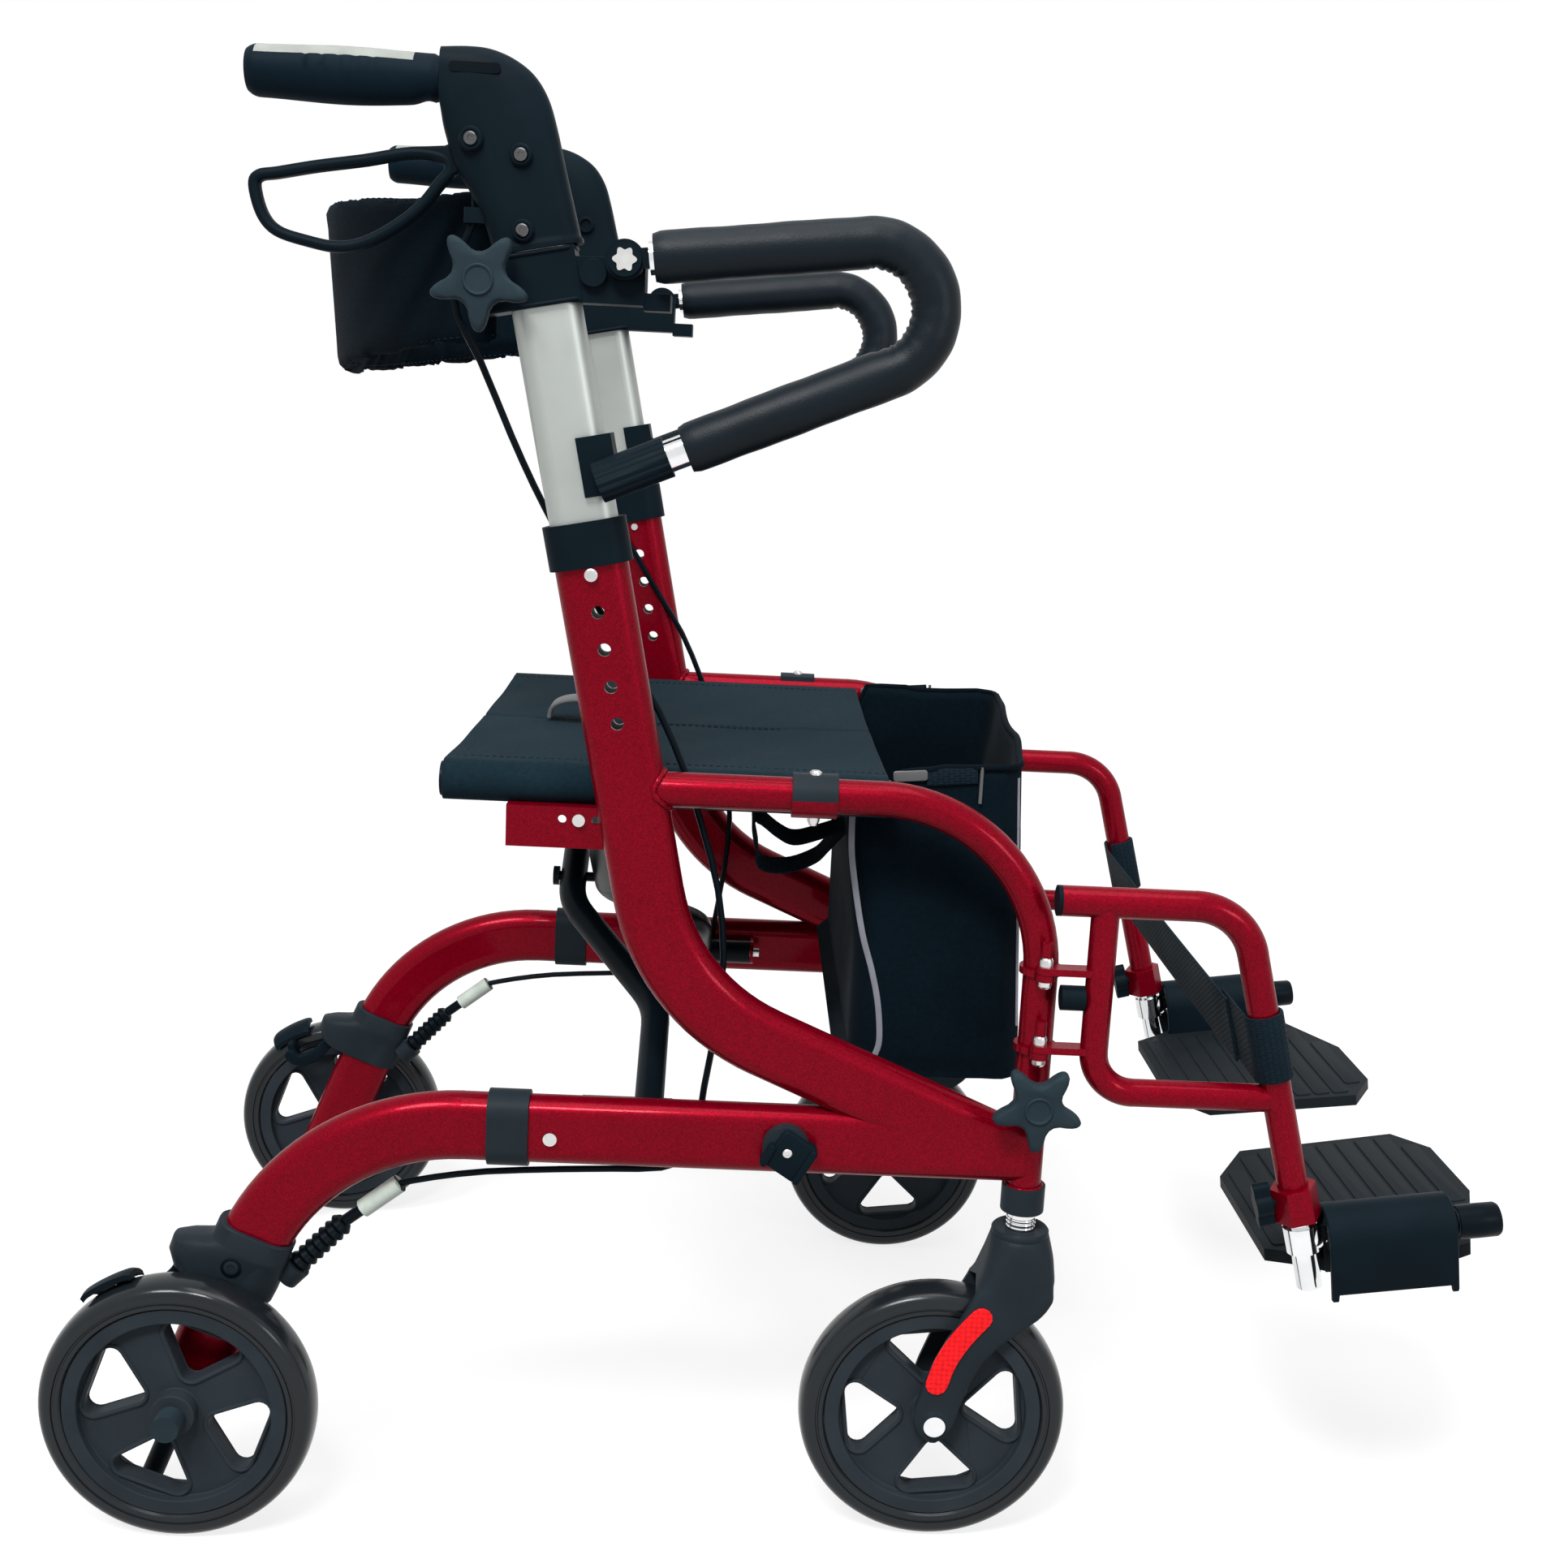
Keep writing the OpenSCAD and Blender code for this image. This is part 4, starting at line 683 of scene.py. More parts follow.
class CHAIR_OT_stage(bpy.types.Operator):
    """Camera, lamps, world and floor"""

    bl_idname = "chair.stage"
    bl_label = "Stage"

    def execute(self, context):
        scene = context.scene
        scene.view_settings.view_transform = "Standard"
        pitch, yaw, roll = 0.2017, -0.02422, 0.0492
        level = Vector((math.cos(yaw), math.sin(yaw), 0))
        ahead = Vector((-math.sin(yaw), math.cos(yaw), 0))
        forward = math.cos(pitch) * ahead - Vector((0, 0, math.sin(pitch)))
        up = math.sin(pitch) * ahead + Vector((0, 0, math.cos(pitch)))
        right = math.cos(roll) * level + math.sin(roll) * up
        top = math.cos(roll) * up - math.sin(roll) * level
        data = bpy.data.cameras.new("camera")
        data.sensor_fit = "AUTO"
        data.sensor_width = 36.0
        data.lens = 2300.0 / 1932.0 * 36.0
        data.clip_end = 100.0
        camera = bpy.data.objects.new("camera", data)
        camera.matrix_world = Matrix((right, top, -forward)).transposed().to_4x4()
        camera.location = (-0.05642, -1.5299, 0.8358)
        scene.collection.objects.link(camera)
        scene.camera = camera
        self.lamp(scene, "SUN", "day", (-0.9, -1.5, 2.7), 1.6, angle=math.radians(16))
        self.lamp(scene, "AREA", "top_box", (0.1, -0.5, 2.7), 26.0, size=1.5)
        self.lamp(scene, "AREA", "front_box", (1.7, -2.0, 1.3), 12.0, size=0.6)
        self.lamp(scene, "AREA", "spark", (-0.4, -1.9, 2.4), 30.0, size=0.45)
        world = bpy.data.worlds.new("studio")
        scene.world = world
        world.use_nodes = True
        tree = world.node_tree
        strength = math_node(tree, "ADD", math_node(tree, "MULTIPLY", seen_ray(tree), 0.62), 0.38)
        tree.nodes["Background"].inputs["Color"].default_value = (1, 1, 1, 1)
        tree.links.new(strength, tree.nodes["Background"].inputs["Strength"])
        bm = bmesh.new()
        bmesh.ops.create_grid(bm, x_segments=1, y_segments=1, size=30.0)
        floor = piece("floor", bm, [self.floor_material()])
        return {"FINISHED"}

    def lamp(self, scene, kind, name, place, power, size=1.0, angle=0.1):
        data = bpy.data.lights.new(name, kind)
        data.energy = power
        if kind == "AREA":
            data.size = size
        else:
            data.angle = angle
        made = bpy.data.objects.new(name, data)
        made.location = place
        made.rotation_euler = (Vector((0, 0, 0.5)) - Vector(place)).to_track_quat("-Z", "Y").to_euler()
        scene.collection.objects.link(made)

    def floor_material(self):
        made = bpy.data.materials.new("studio_floor")
        made.use_nodes = True
        tree = made.node_tree
        shader = tree.nodes["Principled BSDF"]
        shader.inputs["Base Color"].default_value = (0.26, 0.26, 0.26, 1)
        shader.inputs["Roughness"].default_value = 0.9
        shader.inputs["Specular IOR Level"].default_value = 0.0
        shader.inputs["Emission Color"].default_value = (1, 1, 1, 1)
        tree.links.new(math_node(tree, "MULTIPLY", seen_ray(tree), 0.8), shader.inputs["Emission Strength"])
        return made


class CHAIR_OT_solids(bpy.types.Operator):
    """Finishes of the solids that stay as they are"""

    bl_idname = "chair.solids"
    bl_label = "Solids"

    def execute(self, context):
        plain = {
            "red_paint": ("side_frame", "footrest_hanger"), "anodised": ("push_tube",),
            "black_plastic": ("handle_housing", "arm_clamp", "brake_lever", "brake_arm", "armrest_saddle",
                              "footrest_clamp", "footrest_knob"),
            "grip_rubber": ("hand_grip",), "steel": ("frame_fasteners",), "cable_sleeve": ("brake_cable",),
            "slate_plastic": ("frame_fittings", "caster_fork"), "tyre_rubber": ("rear_tyre", "front_tyre"),
            "rim_plastic": ("rear_rim", "front_rim"), "foam_skin": ("armrest_foam",),
            "chrome": ("caster_stem", "armrest_tube", "footrest_slide"),
            "knob_plastic": ("upper_knob", "front_knob"), "plate_plastic": ("footplate",)}
        for s, _ in SIDES:
            for finish, nodes in plain.items():
                for node in nodes:
                    dress(node + s, finish)
            dress_where("brake_cable" + s, "adjuster_plastic",
                        lambda x, y, z: -304 < x < -274 and 236 < z < 268 and abs(y - 240) < 7.2
                        and math.hypot((x + 275.5) * 0.616 - (z - 260) * 0.788, y - 240) > 4.6)
            dress_where("footrest_clamp" + s, "red_paint", lambda x, y, z: z < 330)
            dress_where("frame_fittings" + s, "red_paint", lambda x, y, z: -4 < x < 32 and 546 < z < 565)
            dress_where("frame_fasteners" + s, "red_paint",
                        lambda x, y, z: math.hypot(x - CASTER_X, y + PIN_Y) < 5)
            dress_where("frame_fittings" + s, "black_plastic", lambda x, y, z: z > 700)
            dress_where("frame_fasteners" + s, "knob_plastic", lambda x, y, z: z < 112 and y > 284)
            dress_where("frame_fasteners" + s, "black_plastic",
                        lambda x, y, z: math.hypot(x - EYE_X, z - EYE_Z) < 14 or z > 930)
            for name, width in (("arm_clamp", 0.003), ("footplate", 0.003), ("footrest_clamp", 0.0012),
                                ("frame_fittings", 0.001), ("rear_rim", 0.0018), ("front_rim", 0.0018),
                                ("footrest_knob", 0.0015), ("armrest_saddle", 0.003)):
                soften(name + s, width)
        dress("cross_brace_a", "black_steel")
        dress("cross_brace_b", "black_steel")
        return {"FINISHED"}


class CHAIR_OT_grips(bpy.types.Operator):
    """Hand grips with finger ridges below and a pale pad on top"""

    bl_idname = "chair.grips"
    bl_label = "Hand grips"

    def execute(self, context):
        pair("grip", self.build, ["grip_rubber", "grip_pad"], "frame", ["hand_grip"], 50)
        return {"FINISHED"}

    def build(self, bm):
        length = 125.0
        n, steps = 32, 60
        points = [at(GRIP_X - 0.4 - length * k / steps, -HALF, GRIP_Z) for k in range(steps + 1)]
        rings = sweep(bm, circle(16 * MM, n), frames_on(points))
        for i, ring in enumerate(rings):
            t = i / steps
            swell = 1.0 + 0.10 * math.sin(math.pi * min(1.0, t * 1.05)) ** 2 + 0.05 * t
            swell *= 0.93 if t < 0.03 else 1.0
            if t > 0.94:
                swell *= math.sqrt(max(0.0, 1 - ((t - 0.94) / 0.068) ** 2 * 0.42))
            for vert in ring:
                rel = vert.co - points[i]
                low = max(0.0, -rel.z / (16 * MM))
                ridge = 0.0
                if 0.32 < t < 0.76:
                    flank = max(0.0, 1 - abs(rel.z / (16 * MM) - 0.15) * 1.1)
                    ridge = -0.11 * flank * max(0.0, math.cos((t - 0.34) / 0.085 * 2 * math.pi)) ** 3
                notch = 0.16 * low * math.exp(-((t - 0.07) / 0.05) ** 2)
                flat = 0.93 if rel.z > 0 else 1.03 + 0.05 * math.sin(math.pi * t) - notch
                grow = swell * (1 + ridge)
                vert.co = points[i] + Vector((rel.x, rel.y * grow, rel.z * grow * flat))
        for face in bm.faces:
            c = face.calc_center_median()
            t = (at(GRIP_X, 0, 0).x - c.x) / (length * MM)
            if c.z > GRIP_Z * MM + 9.5 * MM and 0.14 < t < 0.96:
                face.material_index = 1


class CHAIR_OT_handles(bpy.types.Operator):
    """Elbow housings, loop levers and star knobs"""

    bl_idname = "chair.handles"
    bl_label = "Handles"

    def execute(self, context):
        pair("elbow", self.elbow, ["black_plastic"], "frame", ["handle_housing"], 50)
        pair("elbow_details", self.details, ["black_plastic", "cable_sleeve"], "frame", angle=40)
        pair("lever_loop", self.lever, ["black_plastic"], "brake_lever", ["brake_lever"], 50)
        for name, place in (("upper", at(-222.048, -265.2, 903.6)), ("front", at(CASTER_X, -263.2, 353))):
            knob = name + "_knob"
            pair(name + "_star", lambda bm: star_knob(bm, place), ["knob_plastic"], knob, [knob], 30)
        pair("clamp_rims", self.rims, ["black_plastic"], "frame", angle=50)
        return {"FINISHED"}

    def elbow(self, bm):
        upper = [(-252.6, 1050.2), (-236, 1051.2), (-221, 1050.2), (-206, 1045), (-193, 1036),
                 (-183.5, 1022),
                 (-177.5, 1004), (-171.5, 980), (-165.5, 957), (-160.8, 939), (-159.4, 932.2)]
        lower = [(-252.6, 1011.8), (-251, 1001), (-248.5, 992), (-246, 983), (-242.5, 975), (-238, 967.5),
                 (-233, 960), (-227.5, 950), (-222.5, 939), (-218.9, 928), (-217.3, 920.6)]
        top = smooth_path([at(x, -HALF, z) for x, z in upper], 5)
        low = smooth_path([at(x, -HALF, z) for x, z in lower], 5)
        frames = []
        for i, (a, b) in enumerate(zip(top, low)):
            half = (a - b) / 2
            lean = half.cross(Vector((0, 1, 0))).normalized()
            grow = 1.0 if i < len(top) - 4 else 1.045
            thick = 17.3 * MM * min(1.0, 0.93 + 0.07 * i / 8) * grow
            frame = Matrix((half * grow, Vector((0, thick, 0)), lean)).transposed().to_4x4()
            frame.translation = (a + b) / 2
            frames.append(frame)
        sweep(bm, [(bowed(c, 0.62), bowed(s, 0.62)) for c, s in circle(1, 40)], frames)

    def details(self, bm):
        for x, z, r in ((-231.1, 992.5, 8.0), (-198.6, 984, 7.4), (-196.6, 937, 7.4)):
            for side in (-1, 1):
                boss = [(0.05, 0.0), (r, 0.0), (r, 0.75), (r - 1.2, 1.0), (r - 2.4, 1.0), (r - 3.0, 0.55),
                        (0.05, 0.55)]
                lathe(bm, boss, at(x, -HALF + side * 15.5, z), (0, 1, 0), 32, rise=side * 5.6)
        slot = facing(-HALF - 15.6, -229.5, 1036.5)
        slab(bm, rounded(33 * MM, 6.5 * MM, 2.6 * MM, 3), 1.6 * MM, slot, finish=1)
        sweep(bm, circle(1.1 * MM, 8), frames_on([at(-231, -250, 945), at(-231, -250, 988)]))
        ferrule = frames_on([at(-229, -250, 941 + 3.3 * k) for k in range(4)])
        sweep(bm, rounded(11 * MM, 15 * MM, 2 * MM, 2), ferrule)

    def lever(self, bm):
        path = [(-251.1, 981.6), (-271.7, 983.6), (-302.5, 977.6), (-333.4, 972.4), (-359.1, 967.1),
                (-371, 964.8),
                (-374.6, 958.4), (-369.8, 941), (-360.1, 930.5), (-341.1, 925), (-320.5, 922),
                (-302.5, 925.6),
                (-282, 937), (-265.5, 950.4), (-253.7, 965.1), (-246.5, 974.0)]
        points = smooth_loop([at(x, -HALF, z) for x, z in path], 5)
        outline = [(v, u) for u, v in rounded(7.6 * MM, 13.0 * MM, 3.6 * MM, 3)]
        sweep(bm, outline, frames_on(points, closed=True), closed=True)
        web = [(-224, 997), (-236, 995), (-250, 989), (-274, 987), (-262, 981), (-250.5, 978.5),
               (-245.5, 970),
               (-238, 975), (-226, 985), (-222, 991)]
        slab(bm, [(x * MM, z * MM) for x, z in web], 12 * MM, facing(-HALF + 6), 1.5 * MM)

    def rims(self, bm):
        lean = Matrix.Rotation(-POST_LEAN, 4, "Y")
        z = 926 - 18.5 * math.cos(POST_LEAN)
        lean.translation = at(post_x(z), -HALF, z)
        for level in (-16.4, 16.4):
            loop = [(u - 11.1, v + 1.0) for u, v in rounded(73.2, 33.4, 6, 4)]
            points = [lean @ Vector((u * MM, v * MM, level * MM)) for u, v in loop]
            frames = frames_on(points, lean.to_3x3() @ Vector((0, 0, 1)), True)
            sweep(bm, rounded(3.0 * MM, 3.4 * MM, 1.3 * MM, 2), frames, closed=True)


def cut_corners(loop, times):
    """Rounds a closed outline by cutting each corner a few times."""
    for _ in range(times):
        made = []
        for a, b in zip(loop, loop[1:] + loop[:1]):
            made += [(a[0] * 0.75 + b[0] * 0.25, a[1] * 0.75 + b[1] * 0.25),
                     (a[0] * 0.25 + b[0] * 0.75, a[1] * 0.25 + b[1] * 0.75)]
        loop = made
    return loop


def star_knob(bm, centre):
    """Five blunt arms on a neck, one of them down, with a recessed disc; it faces -Y."""
    neck = [(0.05, 0.0), (10.0, 0.0), (9.0, 5.0), (11.0, 10.0), (0.05, 10.0)]
    lathe(bm, neck, centre, (0, 1, 0), 40, rise=-1)
    centre = centre + Vector((0, -9.2 * MM, 0))
    frame = Matrix.Translation(centre) @ Matrix.Rotation(math.pi / 2, 4, "X")
    corners = []
    for k in range(5):
        for r, turn in ((33.0, -7.0), (33.0, 7.0), (14.4, 36.0)):
            a = math.radians(72 * k - 90 + turn)
            corners.append((r * MM * math.cos(a), r * MM * math.sin(a)))
    outline = cut_corners(corners, 2)
    rings = []
    for depth, shrink in ((0.0, 0.93), (1.2, 0.985), (3.0, 1.0), (8.5, 1.0), (10.6, 0.97), (11.8, 0.90),
                          (12.2, 0.82)):
        shift = Matrix.Translation((0, 0, depth * MM))
        rings.append(frame @ shift @ Matrix.Diagonal((shrink, shrink, 1, 1)))
    sweep(bm, outline, rings)
    profile = [(0.05, 10.0), (10.2, 10.0), (10.2, 13.0), (9.4, 13.9), (8.4, 13.6), (7.8, 12.9),
               (0.05, 12.7)]
    lathe(bm, profile, centre, (0, 1, 0), 40, rise=-1)


class CHAIR_OT_armrests(bpy.types.Operator):
    """Foam sleeves with wrinkles in the inside of the bend"""

    bl_idname = "chair.armrests"
    bl_label = "Armrest foam"

    def execute(self, context):
        sleeves = pair("armrest_sleeve", self.build, ["foam_skin"], "armrest", ["armrest_foam"], 60)
        return {"FINISHED"}

    def build(self, bm):
        r = sizes_of().foam
        top, low, bend = math.radians(6.7), math.radians(23), 42.5
        c = (32.88, 897.82)
        points = []
        for k in range(28):
            d = 19 + (158 - 19) * k / 27
            points.append(at(EYE_X + d * math.cos(top), ARM_Y, EYE_Z + d * math.sin(top)))
        turn = math.pi + top - low
        for k in range(1, 49):
            a = math.pi / 2 + top - turn * k / 48
            points.append(at(c[0] + bend * math.cos(a), ARM_Y, c[1] + bend * math.sin(a)))
        far = 146.0
        for k in range(1, 31):
            d = far * k / 30
            points.append(at(49.49 - d * math.cos(low), ARM_Y, 858.70 - d * math.sin(low)))
        rings = sweep(bm, circle(r, 32), frames_on(points))
        hub = at(c[0], ARM_Y, c[1])
        last = len(rings) - 1
        for i, ring in enumerate(rings):
            end = min(i, last - i)
            trim = {0: 0.9, 1: 0.985}.get(end, 1.0)
            lump = 1 + 0.010 * math.sin(i * 0.43) + 0.006 * math.sin(i * 1.13 + 1)
            bent = 28 <= i < 77
            for vert in ring:
                rel = vert.co - points[i]
                grow = trim * lump
                if bent:
                    inner = max(0.0, rel.normalized().dot((hub - points[i]).normalized()))
                    fold = 0.5 + 0.5 * math.sin(i * 1.9 + 0.8 * math.sin(i * 0.7) + rel.y * 90)
                    grow *= 1 - 0.075 * inner ** 3 * fold - 0.03 * inner
                vert.co = points[i] + rel * grow


class CHAIR_OT_seat(bpy.types.Operator):
    """Seat cloth wrapped round its tubes, its seams and the pull handle"""

    bl_idname = "chair.seat"
    bl_label = "Seat"

    start = (0.0, 0.19, 0.57)
    end = (0.0, -0.19, 0.57)

    def execute(self, context):
        bm = bmesh.new()
        area = self.cloth(bm)
        made = piece("seat_cloth", bm, ["nylon"], None, ["seat_sling"], 60)
        wall = made.modifiers.new("thickness", "SOLIDIFY")
        wall.thickness = 0.0018
        wall.offset = 1.0
        self.bend(made)
        bm = bmesh.new()
        x0, x1 = SEAT_REAR + 4, SEAT_REAR + SEAT_LEN - 4
        for y in (-3.5, 3.5, -196, 196):
            line = [at(x0 + (x1 - x0) * k / 300, y, self.deck(y, 0.5) + 2.0) for k in range(301)]
            stitches(bm, line, sizes_of().stitch, Vector((0, 0, 1)))
        for x in (x0 + 8, x1 - 8):
            across = [-190 + 380 * k / 300 for k in range(301)]
            line = [at(x, y, self.deck(y, 0.5) + 2.0) for y in across]
            stitches(bm, line, sizes_of().stitch, Vector((0, 0, 1)))
        self.bend(piece("seat_stitching", bm, ["thread"], None, ()))
        bm = bmesh.new()
        x = SEAT_REAR + 78
        line = [at(x + u, 0, 577 + w) for u, w in ((-22, -4), (-20, 4), (-12, 9), (0, 11), (12, 9),
                                                   (20, 4), (22, -4))]
        strap(bm, smooth_path(line, 5), Vector((0, 1, 0)), 30 * MM, 3.2 * MM)
        self.bend(piece("seat_pull", bm, ["pull_grey"], None, (), 40))
        return {"FINISHED"}

    def bend(self, made):
        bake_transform(made)

    def deck(self, y, share):
        """Height of the cloth between its tubes; it dips most halfway along the seat."""
        dip = sizes_of().sag / MM * (0.7 + 0.3 * math.sin(math.pi * share))
        seam = 1.1 * math.exp(-(y / 2.2) ** 2)
        return SEAT_Z + 13.2 - dip * (1 - (y / SEAT_HALF) ** 2) - seam

    def cloth(self, bm):
        r = 13.2
        side = []
        for k in range(17):
            a = math.radians(320 - 230 * k / 16)
            side.append((-SEAT_HALF + r * math.cos(a), SEAT_Z + r * math.sin(a)))
        middle = [-SEAT_HALF + 2 * SEAT_HALF * k / 64 for k in range(1, 64)]
        steps = 60
        rows = []
        for i in range(steps + 1):
            share = i / steps
            x = SEAT_REAR + 2 + (SEAT_LEN - 4) * share
            row = [(y, z) for y, z in side]
            for y in middle:
                ease = 1 - (abs(y) / SEAT_HALF) ** 4
                crease = 0.5 * math.sin(x * 0.045 + y * 0.02) + 0.35 * math.sin(x * 0.09 - y * 0.05 + 1.3)
                row.append((y, self.deck(y, share) + ease * crease))
            row += [(-y, z) for y, z in reversed(side)]
            rows.append([at(x, y, z) for y, z in row])
        lines = loft(bm, rows, caps=False, start=1)
        where = {}
        wide = self.place(where, lines[0], 0.0)
        for i, line in enumerate(lines):
            self.place(where, line, (SEAT_LEN - 4) * MM * i / steps)
        bmesh.ops.recalc_face_normals(bm, faces=bm.faces)
        if sum(f.normal.z for f in bm.faces) < 0:
            bmesh.ops.reverse_faces(bm, faces=bm.faces)
        cloth_map(bm, where)
        return wide, (SEAT_LEN - 4) * MM

    def place(self, where, line, v):
        run = 0.0
        for i, vert in enumerate(line):
            if i:
                run += (vert.co - line[i - 1].co).length
            where[vert] = (run, v)
        return run


class CHAIR_OT_backrest(bpy.types.Operator):
    """Padded backrest band, puffed by a short cloth run"""

    bl_idname = "chair.backrest"
    bl_label = "Backrest"

    def execute(self, context):
        bm = bmesh.new()
        half, depth, high, mid = 226.0, 154.0, 124.0, 905.0
        r = (half ** 2 + depth ** 2) / (2 * depth)
        spread = math.asin(half / r)
        hub = post_x(EYE_Z) - 26 + r - depth
        points = []
        for k in range(81):
            a = math.pi - spread + 2 * spread * k / 80
            points.append(at(hub + (r - 3) * math.cos(a), (r - 3) * math.sin(a), mid))
        sweep(bm, rounded(7 * MM, high * MM, 3.4 * MM, 3), frames_on(points, Vector((1, 0, 0))))
        self.taper(bm, half, high, mid)
        # The band's cloth is a darker copy of the nylon, with painted shade.
        made = piece("backrest_pad", bm, ["shade_painted_nylon"], "right_frame", ["backrest_band"], 60)
        puff(made, 0.005, 3.0, 0.005)
        self.unroll(made, hub, r, mid)
        parts = [made]
        bm = bmesh.new()
        for up in (-0.86, 0.88):
            for out in (1, -1):
                line = []
                for k in range(601):
                    a = math.pi - spread + 2 * spread * k / 600
                    end = min(1.0, abs(r * math.sin(a)) / half) ** 2
                    z = mid + up * high / 2 + (27 * end - 4) * max(0.0, -up)
                    line.append(at(hub + (r - 3 + out * 4.6) * math.cos(a) - 6.5 * up * (1 - end),
                                   (r - 3 + out * 4.6) * math.sin(a), z))
                stitches(bm, line, sizes_of().stitch, Vector((-1, 0, 0)) * out)
        parts.append(piece("backrest_stitching", bm, ["thread"], "right_frame", ()))
        for made in parts:
            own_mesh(made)
        return {"FINISHED"}

    def taper(self, bm, half, high, mid):
        """The band is lower and leans forward at the back, and is narrower at its ends."""
        for vert in bm.verts:
            end = min(1.0, abs(vert.co.y) / (half * MM)) ** 2
            up = (vert.co.z / MM - mid) / (high / 2)
            vert.co.x -= 6.5 * MM * up * (1 - end)
            vert.co.z += (27 * end - 4) * max(0.0, -up) * MM

    def unroll(self, made, hub, r, mid):
        """The cloth map of the band: round its curve and up its height."""
        layer = made.data.uv_layers.get("cloth") or made.data.uv_layers.new(name="cloth")
        origin = at(hub, 0, mid)
        for loop in made.data.loops:
            p = made.data.vertices[loop.vertex_index].co - origin
            layer.data[loop.index].uv = (math.atan2(p.y, -p.x) * r * MM, p.z)


def puff(made, voxel, pressure, cap):
    """Swells a closed piece with a short cloth run and keeps each point within a cap of its start."""
    remesh = made.modifiers.new("remesh", "REMESH")
    remesh.mode = "VOXEL"
    remesh.voxel_size = voxel
    apply_all(made)
    start = [v.co.copy() for v in made.data.vertices]
    cloth = made.modifiers.new("cloth", "CLOTH")
    cloth.settings.use_pressure = True
    cloth.settings.uniform_pressure_force = pressure
    cloth.settings.effector_weights.gravity = 0.0
    cloth.point_cache.frame_start = 1
    cloth.point_cache.frame_end = 20
    for frame in range(1, 21):
        bpy.context.scene.frame_set(frame)
    apply_all(made)
    for vert, before in zip(made.data.vertices, start):
        moved = vert.co - before
        if moved.length > cap:
            vert.co = before + moved * (cap / moved.length)
    bpy.context.scene.frame_set(1)
    for face in made.data.polygons:
        face.use_smooth = True


def apply_all(made):
    """Makes what the modifiers show the piece's own mesh."""
    shown = made.evaluated_get(bpy.context.evaluated_depsgraph_get())
    mesh = bpy.data.meshes.new_from_object(shown)
    made.modifiers.clear()
    old = made.data
    made.data = mesh
    mesh.name = old.name
    bpy.data.meshes.remove(old)


